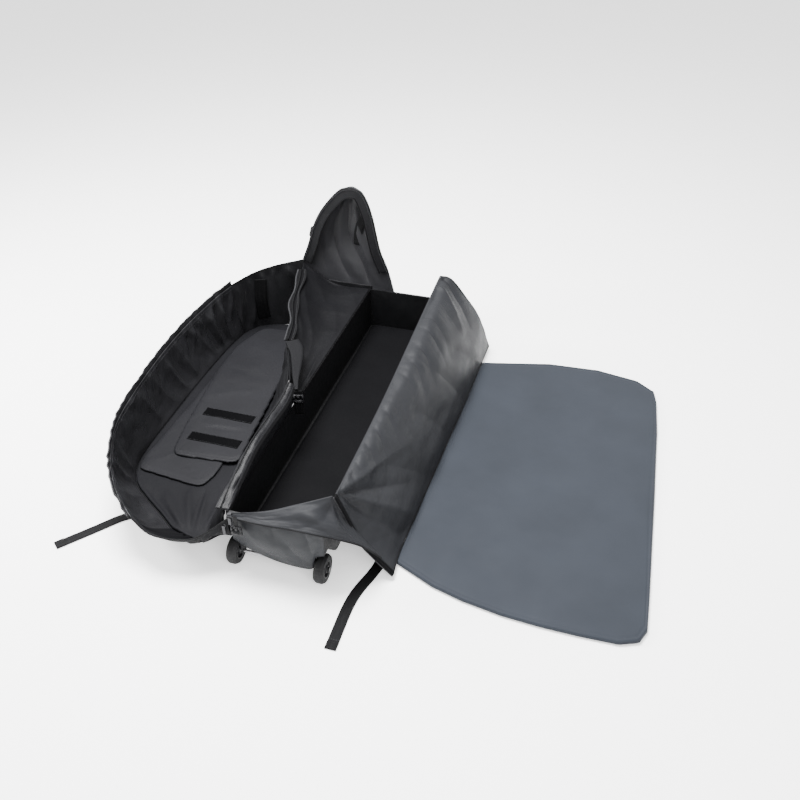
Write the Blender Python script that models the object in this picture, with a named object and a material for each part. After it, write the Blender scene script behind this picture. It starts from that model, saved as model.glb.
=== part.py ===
"""Soft bike travel bag, opened for packing.

Frame: metres, +Z up, X across the bag, Y along it with the wheeled end at -Y.
The origin is on the floor, under the middle of the base.
"""

import math

import bmesh
import bpy
from mathutils import Matrix, Vector

# Driving sizes of the whole bag
BASE_LENGTH = 1.200
BASE_WIDTH = 0.270
BASE_CLEARANCE = 0.030
TRAY_TOP = 0.185
SIDE_REACH = 0.600
GUSSET_DEPTH = 0.200
RIDGE_HEIGHT = 0.250
PEAK_HEIGHT = 0.567
HUMP_REACH = 0.320
PAD_REACH = 0.943

# Gaps between neighbouring pieces
TOUCH_GAP = 0.0005
CLEAR_GAP = 0.0015
FLOOR_GAP = 0.0008
FOLD_GAP = 0.0045
OVERRUN = 0.020

# Cloth and padding thicknesses
CLOTH = 0.003
GUSSET_CLOTH = 0.004
TAPE = 0.0022
WEBBING = 0.0018
PAD_THICKNESS = 0.014
FLAP_THICKNESS = 0.008
SHELL_FLOOR_THICKNESS = 0.010
END_PANEL_THICKNESS = 0.005
PEAK_THICKNESS = 0.009

# Tray
TRAY_WALL = 0.004
TRAY_EDGE_RADIUS = 0.010
WHEEL_ARCH_LENGTH = 0.080
WHEEL_ARCH_SLOPE = 0.030
WHEEL_ARCH_HEIGHT = 0.092
FLOOR_PAD_THICKNESS = 0.010
FLOOR_PAD_MARGIN = 0.006

# Skid rails
SKID_WIDTH = 0.024
SKID_SPREAD = 0.088
SKID_LENGTH = 1.000
SKID_SHIFT = 0.045
SKID_EDGE = 0.003

# Wheels and axle
WHEEL_RADIUS = 0.040
WHEEL_WIDTH = 0.027
WHEEL_SPREAD = 0.1215
WHEEL_INSET = 0.008
TYRE_BORE = 0.0245
TYRE_SHOULDER_SHARE = 0.9
HUB_RADIUS = 0.0242
BUSH_RADIUS = 0.0070
BUSH_CLEARANCE = 0.0003
BUSH_WALL = 0.0024
AXLE_CLEARANCE = 0.0003
AXLE_RADIUS = BUSH_RADIUS - BUSH_WALL - AXLE_CLEARANCE
BRACKET_WIDTH = 0.014
BRACKET_THICKNESS = 0.005
BRACKET_GAP = 0.004
BRACKET_DROP = 0.012
CAP_RADIUS = 0.0075
CAP_LENGTH = 0.005
CAP_GAP = 0.0015

# Webbing and buckles
STRAP_WIDTH = 0.030
TAPE_WIDTH = 0.034
HOOK_STRIP_LENGTH = 0.170
HOOK_STRIP_WIDTH = 0.040
HOOK_STRIP_THICKNESS = 0.0016
BUCKLE_WIDTH = 0.034
BUCKLE_LENGTH = 0.028
BUCKLE_THICKNESS = 0.009
BUCKLE_EDGE = 0.002
SLIDER_SIZE = 0.011
PULLER_LENGTH = 0.030
PULLER_WIDTH = 0.008
PULLER_THICKNESS = 0.0022

HALF_LENGTH = BASE_LENGTH / 2
HALF_WIDTH = BASE_WIDTH / 2
CLOTH_BASE = FLOOR_GAP + WEBBING + TOUCH_GAP
HINGE_HEIGHT = CLOTH_BASE + SHELL_FLOOR_THICKNESS
UPPER_FLAP_BASE = HINGE_HEIGHT + FLAP_THICKNESS + 2 * TOUCH_GAP
SMOOTH_ANGLE = math.radians(40)

# Across the left side, places up to the tray's wall follow the tray's width, and up
# the peak, places below its zip corner follow the ridge height
WALL_SHARE = 0.225
CORNER_SHARE = 0.47
CORNER_RIDGE_SHARE = 1.06596

# The line that the left shell folds about: across share of the side reach and
# along share of the half length, at its near and far ends
SHELL_HINGE_SHARES = ((-0.392, -0.917), (-0.567, 0.933))

# The line that the loose pad lifts about: across share of the pad reach and
# along share of the half length
PAD_HINGE_SHARES = ((0.3124, -0.82), (0.3399, 0.83))

END_PANEL_BULGE = 0.020

# End panels: for each edge curve, its across and height shares and its bulge
NEAR_PANEL_SHARES = (
    (((-0.86, 0.52), (-0.55, 0.42), (0.0, 0.31), (0.50, 0.27), (0.74, 0.30), (0.80, 0.48),
      (1.0, 0.56)), 0.35),
    (((-0.88, 0.75), (-0.55, 0.68), (0.0, 0.62), (0.50, 0.60), (0.74, 0.62), (0.86, 0.72),
      (1.0, 0.78)), 1.0),
    (((-0.88, 0.97), (-0.55, 0.98), (0.0, 0.99), (0.50, 0.99), (0.74, 0.99), (0.88, 0.99),
      (1.0, 0.99)), 0.0))
FAR_PANEL_HEIGHT_SHARES = ((0.24, 0.2), (0.62, 0.8), (0.99, 0.0))
FAR_PANEL_ACROSS_SHARES = (-0.92, -0.46, 0.0, 0.46, 0.92)

# Lower flap: its corners on the floor plan
LOWER_FLAP_SHARES = (
    (-0.560, -0.640), (-0.930, -0.600), (-0.945, -0.520), (-0.935, 0.000), (-0.935, 0.480),
    (-0.600, 0.480), (-0.530, -0.520))

# Left gusset: where it meets the floor, and its rim, from the near end to the far end
CREASE_SHARES = (
    (-0.575, -0.913), (-0.673, -0.842), (-0.800, -0.758), (-0.907, -0.667), (-0.972, -0.500),
    (-0.990, -0.133), (-0.997, 0.217), (-0.992, 0.550), (-0.972, 0.733))
RIM_SHARES = (
    (-0.647, -1.075, 0.65), (-0.752, -0.998, 0.775), (-0.817, -0.925, 0.85), (-0.880, -0.833, 0.91),
    (-0.975, -0.600, 1.0), (-1.047, -0.167, 1.0), (-1.072, 0.217, 1.0), (-1.042, 0.533, 1.05),
    (-0.997, 0.700, 1.11))
FLOOR_END_SHARES = (-0.580, 0.935)
FLOOR_INSET = 0.0030
GUSSET_BELLY_SHARE = 0.18
GUSSET_BELLY_HEIGHT_SHARE = 0.45
RIM_TAPE_HEIGHT = 0.014
RIM_TAPE_THICKNESS = 0.0045
FLAP_CORNER_RADIUS = 0.035
CORNER_REACH_SHARE = 0.45

# Upper flap: its corners on the floor plan, from its near right corner round to the right
UPPER_FLAP_SHARES = (
    (-0.457, -0.438), (-0.815, -0.470), (-0.862, -0.243), (-0.928, 0.272), (-0.932, 0.560),
    (-0.860, 0.790), (-0.640, 0.800), (-0.580, 0.620), (-0.537, 0.357))
FLAP_HINGE_SHARES = ((-0.880, -0.300), (-0.948, 0.480))
HOOK_STRIP_SHARES = ((-0.650, -0.310), (-0.668, -0.100))

# Left ridge and zip edge: the top edge of the cloth wall between the tray and the shell
RIDGE_SHARES = (
    (-0.236, -0.945, 0.80), (-0.238, -0.767, 0.92), (-0.240, -0.650, 0.97), (-0.242, -0.480, 0.96),
    (-0.246, -0.300, 0.93), (-0.254, -0.175, 0.97))
EDGE_SHARES = (
    (-0.262, -0.165, 0.97), (-0.387, 0.120, 0.99), (-0.458, 0.362, 0.99), (-0.558, 0.682, 1.0),
    (-0.646, 0.990, 1.02))
ROLL_RADIUS = 0.020
ROLL_ROUND_SHARE = 0.6
LINING_SAG = 0.050

# Slack webs that crumple when the left shell folds
NEAR_WEB_LOW_SHARES = (
    (-0.5738, -0.9142, 0.03), (-0.483, -0.942, 0.02), (-0.392, -0.955, 0.08), (-0.254, -0.985, 0.44))
NEAR_WEB_HIGH_SHARES = (
    (-0.6458, -1.0765, 0.65), (-0.520, -1.127, 0.60), (-0.367, -1.113, 0.60), (-0.222, -1.026, 0.73))
FAR_WEB_LOW_SHARES = (
    (-0.9714, 0.7348, 0.03), (-0.915, 0.845, 0.03), (-0.800, 0.900, 0.03), (-0.648, 0.9968, 0.03))
FAR_WEB_HIGH_SHARES = (
    (-0.9966, 0.7022, 1.12), (-0.908, 0.833, 1.19), (-0.790, 0.903, 1.29), (-0.650, 0.9968, 1.33))
DRAPE_TOP_SHARES = (
    (-0.280, -0.880, 0.790), (-0.283, -0.667, 0.832), (-0.286, -0.417, 0.828), (-0.297, -0.167, 0.840),
    (-0.393, 0.120, 0.975), (-0.464, 0.362, 0.975), (-0.564, 0.682, 0.985), (-0.645, 0.925, 1.0))
NEAR_WEB_SWELL = 0.012
DRAPE_SAG = 0.008

# Peak: left and right edges of the standing far end, from its foot to its top
PEAK_LEFT_SHARES = (
    (-0.652, 0.350), (-0.650, 0.470), (-0.605, 0.590), (-0.570, 0.705), (-0.523, 0.808),
    (-0.458, 0.901), (-0.397, 0.966), (-0.352, 0.986))
PEAK_RIGHT_SHARES = (
    (-0.078, 0.350), (-0.110, 0.470), (-0.155, 0.590), (-0.180, 0.705), (-0.200, 0.808),
    (-0.228, 0.901), (-0.262, 0.966), (-0.300, 0.988))
PEAK_BULGE = 0.030
PEAK_ROWS = 40
SKIRT_END_SHARE = 0.938
PEAK_TAPE_STEPS = 36
PEAK_COLUMN_SHARES = (0.0, 0.25, 0.5, 0.75, 1.0)
PEAK_SWELL_SHARES = (0.0, 0.5, 0.9, 1.0, 1.0, 0.9, 0.7, 0.4)

# Inner zip edge: the flat band on top of the cloth wall, and how it turns
BAND_SHARES = (
    (-0.398, 0.160, 1.0075), (-0.458, 0.362, 1.0075), (-0.558, 0.682, 1.0175), (-0.622, 0.900, 1.0295))
BAND_TURN_SHARES = ((1.0, 0.1, 0.04), (1.0, 0.2, 0.04), (1.0, 0.3, 0.04), (1.0, 0.3, 0.04))
POUCH_SHARES = (
    (-0.195, -0.237, 0.993), (-0.233, -0.150, 0.993), (-0.272, -0.042, 0.999), (-0.321, 0.078, 1.009),
    (-0.375, 0.1535, 1.013))
POUCH_TURN_SHARES = (
    (0.82, 0.57, 0.0), (0.82, 0.57, 0.0), (0.96, 0.28, 0.0), (1.0, 0.1, 0.0), (1.0, 0.1, 0.0))
POUCH_WIDTH_SHARES = (0.2, 0.6, 0.84, 1.0, 0.9)
POUCH_WIDTH = 0.050
POUCH_THICKNESS = 0.008

# Webbing that hangs from the pouch's tip into the tray, with its buckle in front
EDGE_WEBBING_SHARES = (-0.190, -0.232, 0.9745)
EDGE_WEBBING_TURN_SHARES = (0.96, 0.28, 0.0)
EDGE_WEBBING_WIDTH = 0.024
EDGE_WEBBING_LENGTH = 0.085
EDGE_BUCKLE_DROP = 0.026
EDGE_BUCKLE_SIZE = (0.030, 0.030, 0.007)

# Right side
BAND_GAP = 0.0039
PANEL_STATION_SHARES = (
    (-0.883, -0.883, ((0.4560, 1.010), (0.525, 0.800), (0.640, 0.460), (0.750, 0.240), (0.845, 0.0544))),
    (-0.750, -0.750, ((0.4541, 1.010), (0.547, 0.928), (0.703, 0.600), (0.838, 0.280), (0.905, 0.0544))),
    (-0.500, -0.500, ((0.4504, 1.010), (0.556, 0.952), (0.719, 0.640), (0.850, 0.320), (0.913, 0.0544))),
    (-0.167, -0.167, ((0.4457, 1.030), (0.569, 0.992), (0.744, 0.712), (0.881, 0.380), (0.944, 0.0544))),
    (0.250, 0.250, ((0.4396, 1.100), (0.581, 1.072), (0.759, 0.780), (0.900, 0.420), (0.966, 0.0544))),
    (0.617, 0.633, ((0.4344, 1.163), (0.575, 1.145), (0.769, 0.820), (0.916, 0.440), (0.981, 0.0544))),
    (0.925, 1.005, ((0.4300, 1.205), (0.550, 1.150), (0.720, 0.860), (0.860, 0.560), (1.000, 0.0544))))
NEAR_FLAP_TOP_SHARES = (
    (-0.78, -1.016, 0.756), (-0.15, -1.000, 0.815), (0.45, -0.968, 0.912), (1.02, -0.925, 1.0))
NEAR_FLAP_LOW_SHARES = (
    (-0.76, -1.046, 0.742), (0.15, -1.064, 0.748), (0.89, -1.052, 0.725), (1.50, -0.957, 0.560))
NEAR_FLAP_SWELL = 0.006
PAD_OUTLINE_SHARES = (
    (0.425, -0.907), (0.515, -0.947), (0.628, -0.977), (0.732, -0.988), (0.832, -0.990),
    (0.933, -0.985), (0.982, -0.953), (1.000, -0.890), (1.000, -0.728), (0.995, -0.098),
    (0.988, 0.457), (0.978, 0.720), (0.966, 0.815), (0.905, 0.895), (0.760, 0.942), (0.581, 0.928))
PAD_EDGE = 0.002

# Floor straps: their first point is on the tray's wall, the rest lie on the floor
STRAP_ROOT_HEIGHT = 0.048
LEFT_STRAP_SHARES = (
    (-0.235, -0.500), (-0.262, -0.505), (-0.480, -0.620), (-0.812, -0.883), (-0.920, -1.010),
    (-1.033, -1.150))
RIGHT_STRAP_SHARES = (
    (0.235, -0.600), (0.262, -0.605), (0.360, -0.690), (0.412, -0.830), (0.360, -1.060), (0.358, -1.328))

# Corner hardware at the near left corner, where the zip ends
SLIDER_RIDGE_SHARES = (-0.1858, -1.020, 0.752)
SLIDER_RIM_SHARES = (-0.2167, -1.026, 0.607)
CORNER_BUCKLE_SHARES = (-0.147, -1.0519, 0.824)
CORNER_WEBBING_LENGTH = 0.034
CORNER_WEBBING_WIDTH = 0.014

# Strap on the peak's face: across shares of its two edges, and the row share
PEAK_STRAP_SHARES = ((0.60, 0.73, 0.39), (0.63, 0.76, 0.56), (0.74, 0.87, 0.70))

# Strap that hangs from the peak's outer face, with its buckle: shares of the side
# reach, of the peak's bulge and of the peak height, and its width directions
PEAK_LOOP_SHARES = (
    (-0.4897, 0.95333, 0.7797), (-0.5333, 1.00333, 0.7640), (-0.5573, 1.03333, 0.7337),
    (-0.5735, 1.03333, 0.6808))
PEAK_LOOP_TURN_SHARES = ((0.0, 1.0, 0.0), (0.2, 0.98, 0.0), (0.5, 0.87, 0.0), (0.68, 0.73, 0.0))
PEAK_LOOP_WIDTH = 0.020

# Strap that hangs in the far left corner: its left and right edges from top to bottom
FAR_STRAP_LEFT_SHARES = ((-0.9067, 0.8255, 1.07), (-0.9105, 0.8305, 0.65), (-0.9128, 0.8345, 0.25))
FAR_STRAP_RIGHT_SHARES = ((-0.8395, 0.8678, 1.05), (-0.8395, 0.8710, 0.62), (-0.8395, 0.8745, 0.20))
RIGHT_TAPE_WIDTH = 0.014
RIGHT_TAPE_THICKNESS = 0.0045


def clear_scene():
    """Remove every object of the opened scene."""
    for item in list(bpy.data.objects):
        bpy.data.objects.remove(item, do_unlink=True)


def make_material(name, colour, roughness, metallic=0.0):
    """A plain surface with the colour and roughness of one real material."""
    material = bpy.data.materials.new(name)
    material.use_nodes = True
    shader = material.node_tree.nodes["Principled BSDF"]
    shader.inputs["Base Color"].default_value = (*colour, 1.0)
    shader.inputs["Roughness"].default_value = roughness
    shader.inputs["Metallic"].default_value = metallic
    return material


def make_pivot(name, place):
    """An empty on a joint's axis, which carries the pieces that turn with it."""
    pivot = bpy.data.objects.new(name, None)
    bpy.context.collection.objects.link(pivot)
    pivot.location = place
    return pivot


def add_piece(name, mesh, material, pivot=None):
    """Link a mesh given in world places, with its origin on its pivot."""
    piece = bpy.data.objects.new(name, mesh)
    bpy.context.collection.objects.link(piece)
    if pivot is not None:
        mesh.transform(Matrix.Translation(-pivot.location))
        piece.parent = pivot
    mesh.materials.append(material)
    mesh.shade_smooth()
    mesh.set_sharp_from_angle(angle=SMOOTH_ANGLE)
    return piece


def bevel(piece, width, segments=2):
    """Round the piece's edges."""
    rounding = piece.modifiers.new("edges", "BEVEL")
    rounding.width = width
    rounding.segments = segments
    rounding.limit_method = "ANGLE"
    rounding.angle_limit = SMOOTH_ANGLE
    return piece


def smooth_point(before, start, end, after, share):
    """A point between start and end on the curve through four points."""
    squared = share * share
    cubed = squared * share
    return 0.5 * (
        2 * start
        + (end - before) * share
        + (2 * before - 5 * start + 4 * end - after) * squared
        + (3 * start - before - 3 * end + after) * cubed
    )


def smooth_curve(points, steps):
    """The smooth curve through the points, as steps + 1 even points."""
    points = [Vector(point) for point in points]
    if len(points) == 2:
        return [points[0].lerp(points[1], step / steps) for step in range(steps + 1)]
    ends = [2 * points[0] - points[1], *points, 2 * points[-1] - points[-2]]
    spans = len(points) - 1
    fine = []
    per_span = 8
    for span in range(spans):
        for step in range(per_span):
            fine.append(smooth_point(*ends[span:span + 4], step / per_span))
    fine.append(points[-1])
    return even_points(fine, steps)


def even_points(line, steps):
    """The line cut into equal lengths, as steps + 1 points."""
    lengths = [0.0]
    for start, end in zip(line, line[1:]):
        lengths.append(lengths[-1] + (end - start).length)
    result = []
    index = 0
    for step in range(steps + 1):
        wanted = lengths[-1] * step / steps
        while index < len(line) - 2 and lengths[index + 1] < wanted:
            index += 1
        span = lengths[index + 1] - lengths[index]
        share = (wanted - lengths[index]) / span if span > 0 else 0.0
        result.append(line[index].lerp(line[index + 1], min(share, 1.0)))
    return result


def grid_mesh(name, rows):
    """An open sheet through rows of points."""
    mesh = bpy.data.meshes.new(name)
    places = [point for row in rows for point in row]
    columns = len(rows[0])
    faces = []
    for row in range(len(rows) - 1):
        for column in range(columns - 1):
            corner = row * columns + column
            faces.append((corner, corner + 1, corner + columns + 1, corner + columns))
    mesh.from_pydata(places, [], faces)
    mesh.update()
    return mesh


def loft_rows(edges, along, across):
    """Rows of a sheet that passes through the given edge curves."""
    curves = [smooth_curve(edge, along) for edge in edges]
    rows = []
    for step in range(along + 1):
        rows.append(smooth_curve([curve[step] for curve in curves], across))
    return rows


def make_sheet(name, edges, along, across, thickness, material, pivot=None, side=0.0):
    """A closed sheet of even thickness, lofted through its edge curves."""
    piece = add_piece(name, grid_mesh(name, loft_rows(edges, along, across)), material, pivot)
    wall = piece.modifiers.new("cloth", "SOLIDIFY")
    wall.thickness = thickness
    wall.offset = side
    wall.use_even_offset = True
    return piece


def make_ribbon(name, path, across, width, thickness, steps, material, width_shares=(1.0, 1.0), pivot=None):
    """A flat strip along a path, with its width along the across directions."""
    centre = smooth_curve(path, steps)
    turns = smooth_curve(across, steps)
    widths = smooth_curve([(share, 0, 0) for share in width_shares], steps)
    if min(width_shares) == max(width_shares):
        widths = [Vector((1.0, 0, 0))] * (steps + 1)
    rows = []
    for point, turn, share in zip(centre, turns, widths):
        half = turn.normalized() * (width * share.x / 2)
        rows.append([point - half, point + half])
    piece = add_piece(name, grid_mesh(name, rows), material, pivot)
    wall = piece.modifiers.new("cloth", "SOLIDIFY")
    wall.thickness = thickness
    wall.offset = 0.0
    return piece


def make_block(name, low, high, material, pivot=None, edge=0.0):
    """A box between two corners, with rounded edges where edge isn't zero."""
    mesh = bpy.data.meshes.new(name)
    shape = bmesh.new()
    bmesh.ops.create_cube(shape, size=1.0)
    size = Vector(high) - Vector(low)
    middle = (Vector(high) + Vector(low)) / 2
    bmesh.ops.scale(shape, vec=size, verts=shape.verts)
    bmesh.ops.translate(shape, vec=middle, verts=shape.verts)
    shape.to_mesh(mesh)
    shape.free()
    piece = add_piece(name, mesh, material, pivot)
    if edge > 0:
        bevel(piece, edge)
    return piece


def make_plate(name, outline, low, thickness, material, pivot=None, edge=0.0):
    """A flat padded panel: an outline on the floor plan, raised to its thickness."""
    mesh = bpy.data.meshes.new(name)
    shape = bmesh.new()
    corners = [shape.verts.new((point.x, point.y, low)) for point in outline]
    face = shape.faces.new(corners)
    raised = bmesh.ops.extrude_face_region(shape, geom=[face])
    tops = [item for item in raised["geom"] if isinstance(item, bmesh.types.BMVert)]
    bmesh.ops.translate(shape, vec=(0, 0, thickness), verts=tops)
    bmesh.ops.recalc_face_normals(shape, faces=shape.faces)
    shape.to_mesh(mesh)
    shape.free()
    piece = add_piece(name, mesh, material, pivot)
    if edge > 0:
        bevel(piece, edge)
    return piece


def make_profile(name, profile, low, high, material):
    """A side profile in the Y and Z plane, extruded across from low to high."""
    mesh = bpy.data.meshes.new(name)
    shape = bmesh.new()
    corners = [shape.verts.new((low, point[0], point[1])) for point in profile]
    face = shape.faces.new(corners)
    raised = bmesh.ops.extrude_face_region(shape, geom=[face])
    tops = [item for item in raised["geom"] if isinstance(item, bmesh.types.BMVert)]
    bmesh.ops.translate(shape, vec=(high - low, 0, 0), verts=tops)
    bmesh.ops.recalc_face_normals(shape, faces=shape.faces)
    shape.to_mesh(mesh)
    shape.free()
    return add_piece(name, mesh, material)


def make_turned(name, profile, place, material, pivot=None, steps=32):
    """A ring or shaft about an axis along X, from radius and across pairs."""
    mesh = bpy.data.meshes.new(name)
    shape = bmesh.new()
    rings = []
    for radius, across in profile:
        ring = []
        for step in range(steps):
            angle = 2 * math.pi * step / steps
            offset = Vector((across, radius * math.cos(angle), radius * math.sin(angle)))
            ring.append(shape.verts.new(Vector(place) + offset))
        rings.append(ring)
    pairs = list(zip(rings, rings[1:] + rings[:1]))
    for first, second in pairs:
        for step in range(steps):
            after = (step + 1) % steps
            shape.faces.new((first[step], first[after], second[after], second[step]))
    bmesh.ops.recalc_face_normals(shape, faces=shape.faces)
    shape.to_mesh(mesh)
    shape.free()
    return add_piece(name, mesh, material, pivot)


def make_shaft(name, radius, low, high, place, material, pivot=None, steps=24):
    """A solid round bar along X between two places, with flat ends."""
    mesh = bpy.data.meshes.new(name)
    shape = bmesh.new()
    bmesh.ops.create_cone(
        shape, cap_ends=True, segments=steps, radius1=radius, radius2=radius, depth=high - low)
    turn = Matrix.Rotation(math.pi / 2, 4, "Y")
    middle = Vector(((low + high) / 2, place[1], place[2]))
    bmesh.ops.transform(shape, matrix=Matrix.Translation(middle) @ turn, verts=shape.verts)
    shape.to_mesh(mesh)
    shape.free()
    return add_piece(name, mesh, material, pivot)


def cut(piece, cutter):
    """Take the cutter's shape out of the piece."""
    cutter.hide_render = True
    cutter.display_type = "WIRE"
    hole = piece.modifiers.new("cut", "BOOLEAN")
    hole.operation = "DIFFERENCE"
    hole.object = cutter
    return piece


def bent_scale(share, bend_share, bend, full):
    """The place of a share of a full size whose start follows a nearer size, the bend."""
    far = abs(share)
    place = bend * far / bend_share
    if far > bend_share:
        place = bend + (full - bend) * (far - bend_share) / (1 - bend_share)
    return math.copysign(place, share)


def side_across(share):
    """The place across of a share of the side reach."""
    return bent_scale(share, WALL_SHARE, HALF_WIDTH, SIDE_REACH)


def peak_height(share):
    """The height of a share of the peak height."""
    return bent_scale(share, CORNER_SHARE, RIDGE_HEIGHT * CORNER_RIDGE_SHARE, PEAK_HEIGHT)


def side_point(shares, height=0.0):
    """A place on the left side: shares of the side reach and half length."""
    return Vector((side_across(shares[0]), shares[1] * HALF_LENGTH, height))


def gusset_point(shares):
    """A place on the left gusset: the height is a share of the gusset depth."""
    return side_point(shares, shares[2] * GUSSET_DEPTH)


def ridge_point(shares):
    """A place near the ridges: the height is a share of the ridge height."""
    return side_point(shares, shares[2] * RIDGE_HEIGHT)


def peak_point(shares, along):
    """A place on the peak: shares of the side reach and the peak height."""
    return Vector((side_across(shares[0]), along, peak_height(shares[1])))


def hump_point(shares, along_share):
    """A place on the right panel: shares of its reach and the ridge height."""
    return Vector((shares[0] * HUMP_REACH, along_share * HALF_LENGTH, shares[1] * RIDGE_HEIGHT))


def pad_point(shares, height=0.0):
    """A place on the loose pad: shares of its reach and the half length."""
    return Vector((shares[0] * PAD_REACH, shares[1] * HALF_LENGTH, height))


def build_materials():
    """The surfaces of the bag, by name."""
    return {
        "tray": make_material("tray_plastic", (0.012, 0.012, 0.013), 0.5),
        "foam": make_material("foam", (0.015, 0.015, 0.016), 0.9),
        "rail": make_material("rail_plastic", (0.02, 0.02, 0.022), 0.45),
        "outer": make_material("outer_cloth", (0.085, 0.09, 0.098), 0.6),
        "lining": make_material("lining_cloth", (0.05, 0.05, 0.054), 0.45),
        "panel": make_material("panel_cloth", (0.075, 0.075, 0.08), 0.45),
        "flap": make_material("flap_cloth", (0.045, 0.045, 0.048), 0.6),
        "pad": make_material("pad_cloth", (0.1, 0.115, 0.14), 0.65),
        "tape": make_material("zip_tape", (0.03, 0.03, 0.032), 0.6),
        "webbing": make_material("webbing", (0.015, 0.015, 0.017), 0.75),
        "hook": make_material("hook_strip", (0.006, 0.006, 0.007), 0.95),
        "buckle": make_material("buckle_plastic", (0.01, 0.01, 0.011), 0.35),
        "tyre": make_material("tyre_rubber", (0.02, 0.02, 0.021), 0.7),
        "steel": make_material("steel", (0.55, 0.55, 0.56), 0.3, 1.0),
        "zinc": make_material("zinc", (0.25, 0.25, 0.26), 0.35, 1.0),
    }


def tray_profile(wall, top):
    """The tray's side profile, drawn in from its outside by a wall."""
    near = -HALF_LENGTH + wall
    far = HALF_LENGTH - wall
    arch = -HALF_LENGTH + WHEEL_ARCH_LENGTH + wall
    return (
        (near, top),
        (near, WHEEL_ARCH_HEIGHT + wall),
        (arch - WHEEL_ARCH_SLOPE, WHEEL_ARCH_HEIGHT + wall),
        (arch, BASE_CLEARANCE + wall),
        (far, BASE_CLEARANCE + wall),
        (far, top),
    )


def build_base(looks):
    """The stiff tray, its floor pad and the rails that it stands on."""
    raised = TRAY_TOP + OVERRUN
    tray = make_profile("base_tray", tray_profile(0.0, raised), -HALF_WIDTH, HALF_WIDTH, looks["tray"])
    bevel(tray, TRAY_EDGE_RADIUS)
    inside = HALF_WIDTH - TRAY_WALL
    hollow = make_profile(
        "tray_hollow", tray_profile(TRAY_WALL, raised + OVERRUN), -inside, inside, looks["tray"])
    cut(tray, hollow)
    reach = Vector((HALF_WIDTH + OVERRUN, HALF_LENGTH + OVERRUN, 0))
    rim = make_block(
        "tray_rim_cut", Vector((0, 0, TRAY_TOP)) - reach, Vector((0, 0, raised + OVERRUN)) + reach,
        looks["tray"])
    cut(tray, rim)
    arch = -HALF_LENGTH + WHEEL_ARCH_LENGTH + TRAY_WALL
    floor = BASE_CLEARANCE + TRAY_WALL + TOUCH_GAP
    make_block(
        "tray_floor_pad",
        (-inside + FLOOR_PAD_MARGIN, arch + FLOOR_PAD_MARGIN, floor),
        (inside - FLOOR_PAD_MARGIN, HALF_LENGTH - TRAY_WALL - FLOOR_PAD_MARGIN, floor + FLOOR_PAD_THICKNESS),
        looks["foam"], edge=SKID_EDGE)
    for name, side in (("left", -1), ("centre", 0), ("right", 1)):
        middle = side * SKID_SPREAD
        make_block(
            f"skid_rail_{name}",
            (middle - SKID_WIDTH / 2, SKID_SHIFT - SKID_LENGTH / 2, 0),
            (middle + SKID_WIDTH / 2, SKID_SHIFT + SKID_LENGTH / 2, BASE_CLEARANCE - TOUCH_GAP),
            looks["rail"], edge=SKID_EDGE)


def build_wheels(looks):
    """Two wheels on one fixed axle, held by two brackets under the tray."""
    centre = Vector((0, -HALF_LENGTH + WHEEL_INSET, WHEEL_RADIUS))
    inner = WHEEL_SPREAD - WHEEL_WIDTH / 2
    outer = WHEEL_SPREAD + WHEEL_WIDTH / 2
    bracket_end = inner - BRACKET_GAP
    cap_start = outer + CAP_GAP
    axle_end = cap_start - TOUCH_GAP
    make_shaft("wheel_axle", AXLE_RADIUS, -axle_end, axle_end, centre, looks["steel"])
    for name, side in (("left", -1), ("right", 1)):
        spot = Vector((side * WHEEL_SPREAD, centre.y, centre.z))
        pivot = make_pivot(f"wheel_{name}_pivot", spot)
        half = WHEEL_WIDTH / 2
        shoulder = WHEEL_RADIUS * TYRE_SHOULDER_SHARE
        make_turned(
            f"tyre_{name}",
            ((TYRE_BORE, -half), (shoulder, -half), (WHEEL_RADIUS, -half / 2),
             (WHEEL_RADIUS, half / 2), (shoulder, half), (TYRE_BORE, half)),
            spot, looks["tyre"], pivot)
        bush_bore = BUSH_RADIUS + BUSH_CLEARANCE
        web = half / 2
        make_turned(
            f"wheel_hub_{name}",
            ((bush_bore, -half), (bush_bore + BUSH_WALL, -half), (bush_bore + BUSH_WALL * 2, -web),
             (HUB_RADIUS - BUSH_WALL * 2, -web), (HUB_RADIUS - BUSH_WALL, -half), (HUB_RADIUS, -half),
             (HUB_RADIUS, half), (HUB_RADIUS - BUSH_WALL, half), (HUB_RADIUS - BUSH_WALL * 2, web),
             (bush_bore + BUSH_WALL * 2, web), (bush_bore + BUSH_WALL, half), (bush_bore, half)),
            spot, looks["rail"], pivot, steps=24)
        bore = AXLE_RADIUS + AXLE_CLEARANCE
        make_turned(
            f"wheel_bush_{name}",
            ((bore, -half), (BUSH_RADIUS, -half), (BUSH_RADIUS, half), (bore, half)),
            spot, looks["rail"], pivot, steps=24)
        edge = side * bracket_end
        sides = sorted((edge, edge - side * BRACKET_THICKNESS))
        bracket = make_block(
            f"axle_bracket_{name}",
            (sides[0], centre.y - BRACKET_WIDTH / 2, centre.z - BRACKET_DROP),
            (sides[1], centre.y + BRACKET_WIDTH / 2, WHEEL_ARCH_HEIGHT - TOUCH_GAP),
            looks["rail"])
        cutter = make_shaft(
            f"bracket_bore_{name}", bore, sides[0] - OVERRUN, sides[1] + OVERRUN, centre, looks["rail"])
        cut(bracket, cutter)
        ends = sorted((side * cap_start, side * (cap_start + CAP_LENGTH)))
        make_shaft(f"axle_cap_{name}", CAP_RADIUS, ends[0], ends[1], centre, looks["zinc"])


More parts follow.
